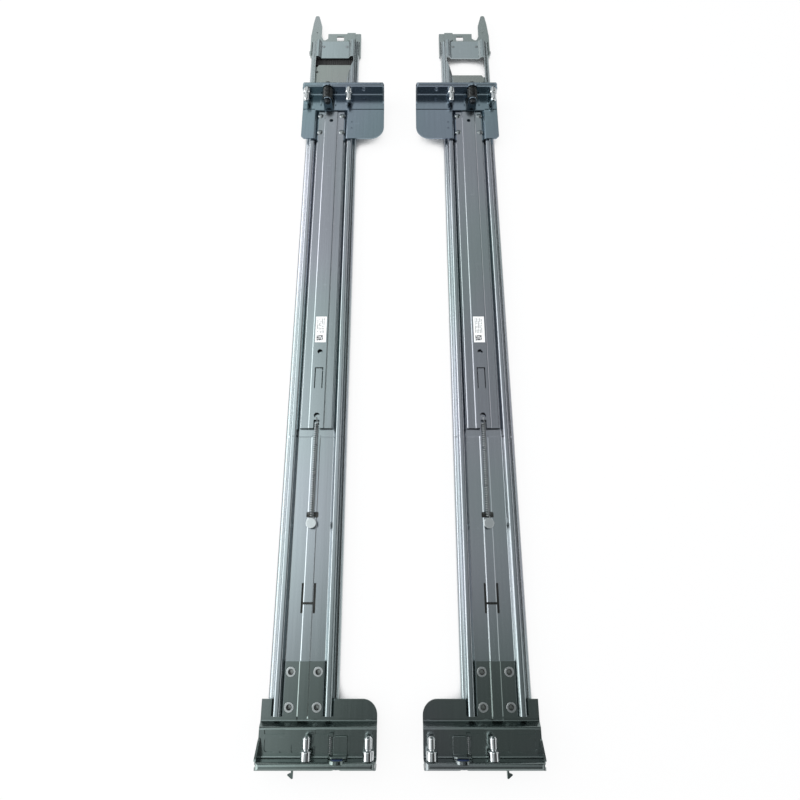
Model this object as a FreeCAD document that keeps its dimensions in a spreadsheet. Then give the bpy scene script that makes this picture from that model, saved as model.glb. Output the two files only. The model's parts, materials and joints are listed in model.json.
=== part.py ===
"""Sliding server rail pair: two mirrored telescopic rails with tool-less rack brackets.

Millimetres. +Z is up: the rails lie with their rack side up, as on a bench. +Y runs from the front
bracket's lip to the rear of the rack, X runs across the pair and the pair is mirrored about X = 0.
Each rail is drawn about its own centre line, with +x towards the other rail and y = 0 at the front
lip's outer face. It is then placed so that the pair's middle is the origin.
"""
import FreeCAD, Part
import math
import os

from FreeCAD import Vector

doc = FreeCAD.newDocument("server_rail_pair")
sheet = doc.addObject("Spreadsheet::Sheet", "Sizes")

DRIVING_SIZES = {
    # the pair
    "rail_spacing": 146.0,       # centre line to centre line
    "right_slide_out": 15.0,     # how far the right-hand slide stands out of its closed place
    "striker_reach": 5.8,        # how far the striker stands in front of the front lip
    # telescopic slide, section
    "slide_width": 53.5,
    "outer_sheet": 1.2,
    "web_top": 7.4,
    "web_rear": 707.0,           # where the web ends and the cable arm bracket shows
    "web_half": 15.0,            # half of the flat web between the ridges
    "ridge_rise": 3.0,
    "ridge_flat": 1.6,
    "ridge_bend": 1.2,
    "edge_bend": 1.4,
    "ball_radius": 1.25,
    "ball_play": 0.15,
    "middle_sheet": 1.0,
    "middle_edge": 0.8,          # height of the middle member's lower edges
    "inner_sheet": 1.0,
    "inner_web_low": 0.4,
    # telescopic slide, lengths
    "outer_front": 31.4,
    "tail_plate_reach": 13.0,    # cable arm bracket behind the web
    "tab_reach": 28.0,           # its tab behind the plate
    "middle_front": 36.0,
    "middle_setback": 33.0,      # closed middle member, from the web's rear end
    "inner_front": 36.0,
    "inner_setback": 41.0,
    "cage_front": 214.0,
    "cage_rear": 488.0,
    "cage_strip": 0.9,
    "cage_low": 1.5,
    "cage_high": 4.1,
    "ball_pitch": 68.0,
    # outer member's web
    "rib_half": 4.0,
    "rib_rise": 0.8,
    "rib_rear": 247.0,
    "lance_front": 103.0,
    "lance_rear": 125.5,
    "lance_half": 4.9,
    "lance_slot": 1.8,
    "spring_window_reach": 5.0,  # from the spring's post to the window under the spring
    "spring_window_length": 4.5,
    "tail_window_length": 42.0,
    "tail_window_margin": 25.0,  # from the tail window to the web's rear end
    "tail_window_half": 20.8,
    # brackets
    "bracket_sheet": 1.5,
    "bracket_outer": 31.0,       # reach beyond the centre line, away from the other rail
    "bracket_inner": 56.0,       # reach towards the other rail
    "lip_rise": 12.6,
    "lip_depth": 5.4,
    "lip_bend": 1.9,
    "front_plate_rear": 43.0,
    "front_corner": 11.0,
    "tongue_rear": 68.7,
    "joggle_front": 24.0,
    "rear_lip_face": 630.0,
    "rear_tray_depth": 25.5,     # from the rear lip's face to the crease
    "rear_flank_length": 38.5,   # from the crease to the plate's front edge
    "rear_corner": 15.0,
    "gusset_reach": 13.5,
    # rack studs, one rack unit apart
    "rack_unit": 44.45,
    "front_stud_x": 5.6,
    "rear_stud_x": -26.2,
    "stud_rise": 7.0,            # stud axis above the tray
    "stud_base_radius": 4.1,
    "stud_shank_radius": 2.95,
    "stud_length": 15.5,
    # sprung release buttons
    "button_radius": 4.6,
    "button_travel": 4.0,
    "stem_radius": 2.2,
    "coil_radius": 5.6,
    "coil_wire": 0.9,
    "slider_margin": 2.1,        # slider's half width beyond the button
    "slider_sheet": 1.5,
    "small_coil_radius": 1.4,
    "seat_distance": 20.0,       # from the lip's outer face to the spring's seat
    "button_gap": 0.6,           # between a button and its hole in the lip
    "collar_wall": 1.5,
    "guide_margin": 1.2,         # from the slider's edge to the low ribs beside it
    # rear extension channel
    "channel_length": 349.5,
    "channel_end_gap": 2.0,      # from the channel's rear end to the rear bracket's crease
    "channel_sheet": 1.3,
    "channel_rib_half": 6.5,
    "channel_rib_rise": 0.5,
    "skirt_gap": 4.0,            # from the skirts' rear ends to the rear bracket
    "hook_setback": 11.5,        # from the channel's front end to the hook's hole
    "hook_hole_radius": 2.6,
    # tension spring
    "post_y": 172.0,
    "post_radius": 2.2,
    "coil_outer": 1.9,
    "spring_wire": 0.45,
    "hook_lead": 6.0,            # from the coil's rear end to the hook's hole
    # rivets
    "rivet_shank": 2.0,
    "rivet_head": 3.6,
    "front_rivet_x": 10.5,
    "rear_rivet_x": 11.5,
    # clearances
    "slide_gap": 0.3,
    "fit_gap": 0.05,
}

# Sizes that follow from the driving ones, as the sheet's own formulas.
FOLLOWING_SIZES = {
    "outer_rear": "web_rear + tail_plate_reach",
    "tail_end": "outer_rear + tab_reach",
    "middle_rear": "web_rear - middle_setback",
    "inner_rear": "web_rear - inner_setback",
    "tail_window_rear": "web_rear - tail_window_margin",
    "tail_window_front": "tail_window_rear - tail_window_length",
    "spring_window_front": "post_y + spring_window_reach",
    "spring_window_rear": "spring_window_front + spring_window_length",
    "middle_web_top": "web_top - outer_sheet - 2 * slide_gap",
    "inner_edge": "middle_web_top - middle_sheet - slide_gap",
    "tray_top": "web_top + ridge_rise + slide_gap + bracket_sheet",
    "tongue_half": "web_half - slide_gap - 2 * fit_gap",
    "channel_half": "web_half - slide_gap - 2 * fit_gap",
    "rear_crease": "rear_lip_face - rear_tray_depth",
    "rear_plate_front": "rear_crease - rear_flank_length",
    "stud_height": "tray_top + stud_rise",
    "slider_half": "button_radius + slider_margin",
    "button_hole": "button_radius + button_gap",
    "guide_offset": "slider_half + guide_margin",
    "channel_rear": "rear_crease - channel_end_gap",
    "channel_front": "channel_rear - channel_length",
    "skirt_rear": "rear_plate_front - skirt_gap",
    "hook_hole_y": "channel_front + hook_setback",
    "spring_rear": "hook_hole_y - hook_lead",
}

entries = [(alias, str(value)) for alias, value in DRIVING_SIZES.items()]
entries += [(alias, "=" + formula) for alias, formula in FOLLOWING_SIZES.items()]
for row, (alias, content) in enumerate(entries, start=1):
    sheet.set("A%d" % row, alias)
    sheet.set("B%d" % row, content)
    sheet.setAlias("B%d" % row, alias)
    doc.recompute()


class Sizes:
    """The sheet's numbers, one attribute for each alias."""


size = Sizes()
for alias in list(DRIVING_SIZES) + list(FOLLOWING_SIZES):
    setattr(size, alias, float(sheet.get(alias)))

# Places that follow from the driving sizes.
race_radius = size.ball_radius + size.ball_play
outer_race_x = size.slide_width / 2 - size.outer_sheet - race_radius
race_height = size.outer_sheet + race_radius
middle_half = outer_race_x - size.ball_radius
inner_race_x = middle_half - size.middle_sheet - size.ball_radius
inner_half = inner_race_x - size.ball_radius
inner_web_top = size.inner_web_low + size.inner_sheet
web_under = size.web_top - size.outer_sheet
ridge_top = size.web_top + size.ridge_rise
rib_top = size.web_top + size.rib_rise
lip_top = size.tray_top + size.lip_rise
tongue_low = size.web_top + size.slide_gap
tongue_top = tongue_low + size.bracket_sheet
channel_top = tongue_top + size.channel_sheet
channel_rib_top = channel_top + size.channel_rib_rise
front_button_x = size.front_stud_x + size.rack_unit / 2
rear_button_x = size.rear_stud_x + size.rack_unit / 2
spring_height = rib_top + size.slide_gap + size.coil_outer
front_rivet_ys = (size.outer_front + 5.9, size.tongue_rear - 7.3)
rear_rivet_ys = (size.rear_plate_front + 9.3, size.rear_plate_front + 31.0)
tail_rivet_x = size.web_half - 1.8
tail_rivet_y = size.web_rear - 8.0
tail_square_y = size.outer_rear - 7.4
channel_tail_hole_y = size.rear_plate_front + 24.5
label_front = size.channel_front + 81.0
striker_x = size.front_stud_x - 9.6
lever_y = size.inner_front + 74.0
first_slot_y = size.inner_front + 30.0
slot_pitch = (size.inner_rear - 48.0 - first_slot_y) / 3
slot_ys = [first_slot_y + k * slot_pitch for k in range(4)]
INNER_SLOPE = 50.0
OUTER_SLOPE = 65.0


# ---------------------------------------------------------------- bent sheet sections
def run_length(rise, bend, slope):
    """Straight run between two opposite bends that together climb rise."""
    angle = math.radians(slope)
    return (rise - 2 * bend * (1 - math.cos(angle))) / math.sin(angle)


def step(rise, bend, slope):
    """Moves of a joggle: up for a positive rise, down for a negative one."""
    turn = math.copysign(slope, rise)
    return [("bend", bend, turn), ("run", run_length(abs(rise), bend, slope)), ("bend", bend, -turn)]


def walk(x, y, heading, moves):
    """Follow runs and bends; each leg is (kind, start, start heading, centre, turn, end, end heading)."""
    legs = []
    for move in moves:
        angle = math.radians(heading)
        if move[0] == "run":
            end = (x + move[1] * math.cos(angle), y + move[1] * math.sin(angle))
            legs.append(("run", (x, y), heading, None, 0.0, end, heading))
        else:
            bend, turn = move[1], move[2]
            side = 1.0 if turn > 0 else -1.0
            centre = (x - side * bend * math.sin(angle), y + side * bend * math.cos(angle))
            heading_end = heading + turn
            out = math.radians(heading_end)
            end = (centre[0] + side * bend * math.sin(out), centre[1] - side * bend * math.cos(out))
            legs.append(("bend", (x, y), heading, centre, turn, end, heading_end))
            heading = heading_end
        x, y = end
    return legs


def beside(point, heading, offset):
    """The point at a distance to the left of a heading."""
    angle = math.radians(heading)
    return Vector(point[0] - offset * math.sin(angle), point[1] + offset * math.cos(angle), 0)


def side_curves(legs, offset):
    """Curves of one face of the sheet, at a distance to the left of its middle line."""
    curves = []
    for kind, start, heading, centre, turn, end, heading_end in legs:
        first = beside(start, heading, offset)
        last = beside(end, heading_end, offset)
        if kind == "run":
            curves.append(Part.LineSegment(first, last))
        else:
            middle_heading = heading + turn / 2
            radius = math.hypot(start[0] - centre[0], start[1] - centre[1])
            side = 1.0 if turn > 0 else -1.0
            middle_angle = math.radians(middle_heading)
            middle = (centre[0] + side * radius * math.sin(middle_angle),
                      centre[1] - side * radius * math.cos(middle_angle))
            curves.append(Part.Arc(first, beside(middle, middle_heading, offset), last))
    return curves


def sheet_section(legs, thickness):
    """Closed section of a bent sheet about its middle line."""
    left = side_curves(legs, thickness / 2)
    right = side_curves(legs, -thickness / 2)
    start_cap = Part.LineSegment(right[0].StartPoint, left[0].StartPoint)
    end_cap = Part.LineSegment(left[-1].EndPoint, right[-1].EndPoint)
    return left + right + [start_cap, end_cap]


def symmetric_section(half_moves, height, thickness):
    """Section of a member that is the same on both sides of its centre line."""
    last = walk(0.0, height, 0.0, half_moves)[-1]
    (end_x, end_y), heading = last[5], last[6]
    moves = list(reversed(half_moves)) + half_moves
    return sheet_section(walk(-end_x, end_y, -heading, moves), thickness)


# ---------------------------------------------------------------- outlines
def outline(corners):
    """Closed outline through corners (x, y) or (x, y, radius)."""
    points = [Vector(c[0], c[1], 0) for c in corners]
    radii = [c[2] if len(c) > 2 else 0.0 for c in corners]
    count = len(points)
    starts, ends, arcs = [], [], []
    for i in range(count):
        back = (points[i - 1] - points[i]).normalize()
        ahead = (points[(i + 1) % count] - points[i]).normalize()
        if radii[i] == 0:
            starts.append(points[i])
            ends.append(points[i])
            continue
        half = math.acos(max(-1.0, min(1.0, back.dot(ahead)))) / 2
        reach = radii[i] / math.tan(half)
        first = points[i] + back * reach
        last = points[i] + ahead * reach
        bisector = (back + ahead).normalize()
        middle = points[i] + bisector * (radii[i] / math.sin(half) - radii[i])
        arcs.append(Part.Arc(first, middle, last))
        starts.append(first)
        ends.append(last)
    lines = []
    for i in range(count):
        first, last = ends[i], starts[(i + 1) % count]
        if (last - first).Length > 1e-6:
            lines.append(Part.LineSegment(first, last))
    return lines + arcs


def rectangle(x0, x1, y0, y1, radius=0.0):
    return outline([(x0, y0, radius), (x1, y0, radius), (x1, y1, radius), (x0, y1, radius)])


def circle(x, y, radius):
    return [Part.Circle(Vector(x, y, 0), Vector(0, 0, 1), radius)]


# ---------------------------------------------------------------- bodies and features
left_rail = {}
NODE_ORDER = []


def place_left(piece, node):
    """Name a finished piece and stand it on the left rail's centre line."""
    piece.Label = "left_" + node
    piece.setExpression(".Placement.Base.x", "-Sizes.rail_spacing / 2")
    piece.setExpression(".Placement.Base.y", "(Sizes.striker_reach - Sizes.tail_end) / 2")
    left_rail[node] = piece
    NODE_ORDER.append(node)
    return piece


def new_body(node):
    return place_left(doc.addObject("PartDesign::Body", "body_" + node), node)


def sketch_on(body, plane_role, offset, curves):
    """Sketch on one of the body's own planes, moved along its normal by a sheet expression."""
    plane = [feature for feature in body.Origin.OriginFeatures if feature.Role == plane_role][0]
    sketch = body.newObject("Sketcher::SketchObject", body.Name + "_sketch")
    sketch.AttachmentSupport = [(plane, "")]
    sketch.MapMode = "FlatFace"
    sketch.setExpression(".AttachmentOffset.Base.z", offset)
    for curve in curves:
        sketch.addGeometry(curve, False)
    return sketch


def pad(body, plane_role, offset, curves, length):
    """Add a prism. XZ sketches face -Y, so their pads are reversed to run towards +Y."""
    sketch = sketch_on(body, plane_role, offset, curves)
    feature = body.newObject("PartDesign::Pad", body.Name + "_pad")
    feature.Profile = sketch
    feature.setExpression("Length", length)
    feature.Reversed = plane_role == "XZ_Plane"
    body.Tip = feature
    return feature


def cut(body, plane_role, offset, curves, length, backwards=False):
    """Cut a prism that runs the same way as a pad would, or the other way."""
    sketch = sketch_on(body, plane_role, offset, curves)
    doc.recompute()
    before = body.Shape.Volume
    feature = body.newObject("PartDesign::Pocket", body.Name + "_cut")
    feature.Profile = sketch
    feature.setExpression("Length", length)
    feature.Reversed = (plane_role != "XZ_Plane") != backwards
    body.Tip = feature
    doc.recompute()
    if body.Shape.Volume > before - 1e-6:
        raise RuntimeError("a cut in %s removes nothing" % body.Label)
    return feature


def revolve(body, plane_role, offset, curves, axis):
    """Turn a profile about one axis of its sketch, V_Axis or H_Axis."""
    sketch = sketch_on(body, plane_role, offset, curves)
    feature = body.newObject("PartDesign::Revolution", body.Name + "_turned")
    feature.Profile = sketch
    feature.ReferenceAxis = (sketch, [axis])
    feature.Angle = 360.0
    body.Tip = feature
    return feature


def group(pieces, node):
    """Several separate solids that make one node."""
    compound = doc.addObject("Part::Compound", "group_" + node)
    compound.Links = pieces
    return place_left(compound, node)


def cylinder(radius, height, base, direction=Vector(0, 0, 1)):
    """Plain cylinder; radius and height are sheet expressions."""
    piece = doc.addObject("Part::Cylinder", "cylinder")
    piece.setExpression("Radius", radius)
    piece.setExpression("Height", height)
    piece.Placement = FreeCAD.Placement(base, FreeCAD.Rotation(Vector(0, 0, 1), direction))
    return piece


def fuse(pieces):
    joined = doc.addObject("Part::MultiFuse", "joined")
    joined.Shapes = pieces
    return joined


# ---------------------------------------------------------------- outer member
def ridge_moves():
    """Web and ridge, from the centre line to the ridge's outer foot."""
    inner_step = step(size.ridge_rise, size.ridge_bend, INNER_SLOPE)
    outer_step = step(-size.ridge_rise, size.ridge_bend, OUTER_SLOPE)
    return [("run", size.web_half)] + inner_step + [("run", size.ridge_flat)] + outer_step


ridge_foot = walk(0.0, 0.0, 0.0, ridge_moves())[-1][5][0]


def outer_half():
    """Half of the outer member: web, ridge, ledge, side wall and the curl under the balls."""
    moves = ridge_moves()
    height = size.web_top - size.outer_sheet / 2
    ledge_start = ridge_foot
    wall_x = size.slide_width / 2 - size.outer_sheet / 2
    moves.append(("run", wall_x - size.edge_bend - ledge_start))
    moves.append(("bend", size.edge_bend, -90.0))
    moves.append(("run", height - size.edge_bend - race_height))
    moves.append(("bend", race_radius + size.outer_sheet / 2, -110.0))
    return moves


def make_outer_member():
    body = new_body("outer_member")
    section = symmetric_section(outer_half(), size.web_top - size.outer_sheet / 2, size.outer_sheet)
    pad(body, "XZ_Plane", "-Sizes.outer_front", section, "Sizes.web_rear - Sizes.outer_front")
    # stiffening rib pressed up along the web
    slope = size.rib_rise
    rib = outline([(-size.rib_half, size.web_top), (size.rib_half, size.web_top),
                   (size.rib_half - slope, rib_top), (-size.rib_half + slope, rib_top)])
    pad(body, "XZ_Plane", "-Sizes.outer_front", rib, "Sizes.rib_rear - Sizes.outer_front")
    hollow = outline([(-size.rib_half + slope, web_under), (size.rib_half - slope, web_under),
                      (size.rib_half - 2 * slope, web_under + slope),
                      (-size.rib_half + 2 * slope, web_under + slope)])
    cut(body, "XZ_Plane", "-Sizes.outer_front", hollow, "Sizes.rib_rear - Sizes.outer_front")
    # lanced tab, spring window, rivet holes and the tail window
    crossbar = (size.lance_front + 2 * size.rib_half * 0.8)
    leg_in = size.lance_half - size.lance_slot / 2
    leg_out = size.lance_half + size.lance_slot / 2
    tab = outline([(-leg_out, size.lance_front), (-leg_in, size.lance_front), (-leg_in, crossbar),
                   (leg_in, crossbar), (leg_in, size.lance_front), (leg_out, size.lance_front),
                   (leg_out, size.lance_rear), (leg_in, size.lance_rear),
                   (leg_in, crossbar + size.lance_slot), (-leg_in, crossbar + size.lance_slot),
                   (-leg_in, size.lance_rear), (-leg_out, size.lance_rear)])
    window = rectangle(-5.0, 5.0, size.spring_window_front, size.spring_window_rear, 0.8)
    holes = []
    for x in (-size.front_rivet_x, size.front_rivet_x):
        for y in front_rivet_ys:
            holes += circle(x, y, size.rivet_shank + size.fit_gap)
        holes += circle(x / size.front_rivet_x * tail_rivet_x, tail_rivet_y, TAIL_RIVET_RADIUS + size.fit_gap)
    half = size.tail_window_half
    front, rear = size.tail_window_front, size.tail_window_rear
    tail = outline([(-half, front), (half - 8.0, front), (half - 5.5, rear - 24.0, 4.0), (half, rear - 7.0, 4.0),
                    (half, rear, 1.0), (-half, rear, 1.0)])
    cut(body, "XY_Plane", "0", tab + window + holes + tail, "Sizes.tray_top")


TAIL_RIVET_RADIUS = 1.4
TAIL_SQUARE_X = 5.0


# ---------------------------------------------------------------- rack brackets
def lip_moves(tray_height, turn):
    """Tray bend, lip, folded hem and the hem's outer wall; turn is the first bend's sense."""
    hem_bend = (size.lip_depth - size.bracket_sheet) / 2
    hem_height = lip_top - hem_bend - size.bracket_sheet / 2
    rise = hem_height - (tray_height + size.lip_bend)
    return [("bend", size.lip_bend, turn * 90.0), ("run", rise), ("bend", hem_bend, -turn * 180.0),
            ("run", hem_height - (size.tray_top - 0.8))]


def add_button_seat(body, x, lip_start, cut_length, collar_start, collar_length):
    """Round hole for a release button through both walls of a lip, with a collar on the tray side."""
    cut(body, "XZ_Plane", lip_start, circle(x, size.stud_height, size.button_hole), cut_length)
    ring = circle(x, size.stud_height, size.button_hole + size.collar_wall) + circle(x, size.stud_height, size.button_hole)
    pad(body, "XZ_Plane", collar_start, ring, collar_length)


def round_lip_corners(body, near, far):
    """Rounded upper corners of a lip, cut along Y between two expressions."""
    radius = 5.0
    for x, sign in ((-size.bracket_outer, 1), (size.bracket_inner, -1)):
        arc = Part.Arc(Vector(x, lip_top - radius, 0),
                       Vector(x + sign * radius * (1 - math.sqrt(0.5)), lip_top - radius * (1 - math.sqrt(0.5)), 0),
                       Vector(x + sign * radius, lip_top, 0))
        corner = [arc, Part.LineSegment(Vector(x + sign * radius, lip_top, 0), Vector(x + sign * radius, lip_top + 1, 0)),
                  Part.LineSegment(Vector(x + sign * radius, lip_top + 1, 0), Vector(x - sign, lip_top + 1, 0)),
                  Part.LineSegment(Vector(x - sign, lip_top + 1, 0), Vector(x - sign, lip_top - radius, 0)),
                  Part.LineSegment(Vector(x - sign, lip_top - radius, 0), Vector(x, lip_top - radius, 0))]
        cut(body, "XZ_Plane", near, corner, far)


def make_front_bracket():
    body = new_body("front_bracket")
    base_height = size.web_top + size.bracket_sheet / 2
    tray_height = size.tray_top - size.bracket_sheet / 2
    joggle = step(-(tray_height - base_height), 1.6, 40.0)
    joggle_reach = walk(0.0, 0.0, 0.0, joggle)[-1][5][0]
    wall_y = size.lip_depth - size.bracket_sheet / 2
    moves = [("run", size.tongue_rear - size.joggle_front - joggle_reach)] + joggle
    moves += [("run", size.joggle_front - wall_y - size.lip_bend)] + lip_moves(tray_height, -1.0)
    section = sheet_section(walk(size.tongue_rear, base_height, 180.0, moves), size.bracket_sheet)
    pad(body, "YZ_Plane", "-Sizes.bracket_outer", section, "Sizes.bracket_outer + Sizes.bracket_inner")
    # plan outline: narrow tongue, slots for the ridges, rounded corner
    beside_rail = ridge_foot + size.slide_gap
    slot_front = size.outer_front - size.fit_gap
    far_y = size.tongue_rear + 5
    inner_cut = outline([(size.tongue_half, far_y), (size.tongue_half, slot_front), (beside_rail, slot_front),
                         (beside_rail, size.front_plate_rear, 2.0),
                         (size.bracket_inner - size.front_corner, size.front_plate_rear),
                         (size.bracket_inner - size.front_corner, far_y)])
    outer_cut = outline([(-size.tongue_half, far_y), (-size.tongue_half, slot_front), (-beside_rail, slot_front),
                         (-beside_rail, size.front_plate_rear), (-size.bracket_outer - 5, size.front_plate_rear),
                         (-size.bracket_outer - 5, far_y)])
    centre_x = size.bracket_inner - size.front_corner
    centre_y = size.front_plate_rear - size.front_corner
    diagonal = size.front_corner * math.sqrt(0.5)
    corner_cut = [Part.Arc(Vector(centre_x, size.front_plate_rear, 0), Vector(centre_x + diagonal, centre_y + diagonal, 0),
                           Vector(size.bracket_inner, centre_y, 0)),
                  Part.LineSegment(Vector(size.bracket_inner, centre_y, 0), Vector(size.bracket_inner + 5, centre_y, 0)),
                  Part.LineSegment(Vector(size.bracket_inner + 5, centre_y, 0), Vector(size.bracket_inner + 5, far_y, 0)),
                  Part.LineSegment(Vector(size.bracket_inner + 5, far_y, 0), Vector(centre_x, far_y, 0)),
                  Part.LineSegment(Vector(centre_x, far_y, 0), Vector(centre_x, size.front_plate_rear, 0))]
    holes = []
    for x in (-size.front_rivet_x, size.front_rivet_x):
        for y in front_rivet_ys:
            holes += circle(x, y, size.rivet_shank + size.fit_gap)
    for curves in (inner_cut, outer_cut, corner_cut, holes):
        cut(body, "XY_Plane", "0", curves, "Sizes.tray_top")
    # recesses pressed into the tray
    near, far = size.lip_depth + 3.6, size.joggle_front - 3.6
    windows = rectangle(-27.0, -11.0, far, far + 3.2, 0.8) + rectangle(10.5, 25.5, far, far + 3.2, 0.8)
    windows += rectangle(-26.5, -18.2, near, near + 9.2, 2.0) + rectangle(-15.0, -8.8, near - 0.7, near + 1.2, 0.9)
    windows += outline([(-6.6, near - 0.4, 1.0), (-0.2, near - 0.4, 1.0), (-0.2, near + 8.0, 1.0),
                        (-2.6, near + 8.0, 2.0), (-6.6, near + 4.6, 3.0)])
    cut(body, "XY_Plane", "Sizes.tray_top - 1.1", windows, "3")
    # rib over the rail's own rib, with its hollow side
    rib_low = size.web_top + size.bracket_sheet
    rib = outline([(-size.rib_half - 0.3, rib_low), (size.rib_half + 0.3, rib_low),
                   (size.rib_half - 0.5, rib_low + size.rib_rise), (-size.rib_half + 0.5, rib_low + size.rib_rise)])
    pad(body, "XZ_Plane", "-Sizes.outer_front", rib, "Sizes.tongue_rear - Sizes.outer_front")
    hollow = outline([(-size.rib_half - size.fit_gap, size.web_top), (size.rib_half + size.fit_gap, size.web_top),
                      (size.rib_half - size.rib_rise + size.fit_gap, rib_top + size.fit_gap),
                      (-size.rib_half + size.rib_rise - size.fit_gap, rib_top + size.fit_gap)])
    cut(body, "XZ_Plane", "-Sizes.outer_front", hollow, "Sizes.tongue_rear - Sizes.outer_front")
    # counterbores of the rivets
    heads = []
    for x in (-size.front_rivet_x, size.front_rivet_x):
        for y in front_rivet_ys:
            heads += circle(x, y, size.rivet_head + size.fit_gap)
    cut(body, "XY_Plane", "Sizes.web_top + Sizes.bracket_sheet - 0.8", heads, "2")
    # outer gusset between tray and lip
    wall_in = size.lip_depth - 0.5
    gusset = outline([(wall_in, size.tray_top - 0.4), (wall_in + size.gusset_reach, size.tray_top - 0.4),
                      (wall_in + size.gusset_reach - 1.5, size.tray_top + 2.0, 1.5),
                      (size.lip_depth + 1.6, lip_top - 2.0, 2.0), (wall_in, lip_top - 1.6)])
    pad(body, "YZ_Plane", "-Sizes.bracket_outer", gusset, "Sizes.bracket_sheet")
    # low ear that the slider's spring bears on
    ear_x = front_button_x - size.slider_half + size.small_coil_radius
    ear = rectangle(ear_x - size.small_coil_radius, ear_x + size.small_coil_radius, size.tray_top - 0.4,
                    size.tray_top + size.slide_gap + 2 * size.small_coil_radius + 0.6)
    pad(body, "XZ_Plane", "-Sizes.seat_distance", ear, "Sizes.bracket_sheet")
    # slot that the striker sits in
    slot_low = size.tray_top + size.lip_rise / 2 - 1
    slot = rectangle(striker_x - 0.7, striker_x + 0.9, slot_low, slot_low + 2)
    cut(body, "XZ_Plane", "1", slot, "Sizes.lip_depth + 1.8")
    # button hole and collar
    add_button_seat(body, front_button_x, "1", "Sizes.lip_depth + 1.8",
                    "-(Sizes.lip_depth - 1.2)", "2.1")
    # window of the slider under the lip's bend
    doorway = rectangle(front_button_x - size.slider_half - size.slide_gap, front_button_x + size.slider_half + size.slide_gap,
                        size.tray_top, size.tray_top + size.slider_sheet + 2 * size.slide_gap)
    cut(body, "XZ_Plane", "-(Sizes.lip_depth - 0.1)", doorway, "3")
    round_lip_corners(body, "1", "Sizes.lip_depth + 1.4")
    # embossed guide ribs on each side of the button's spring
    for x in (front_button_x - size.guide_offset, front_button_x + size.guide_offset):
        rib = rectangle(x - 0.6, x + 0.6, size.lip_depth + 2.6, size.seat_distance, 0.55)
        pad(body, "XY_Plane", "Sizes.tray_top - 0.3", rib, "1.3")


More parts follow.
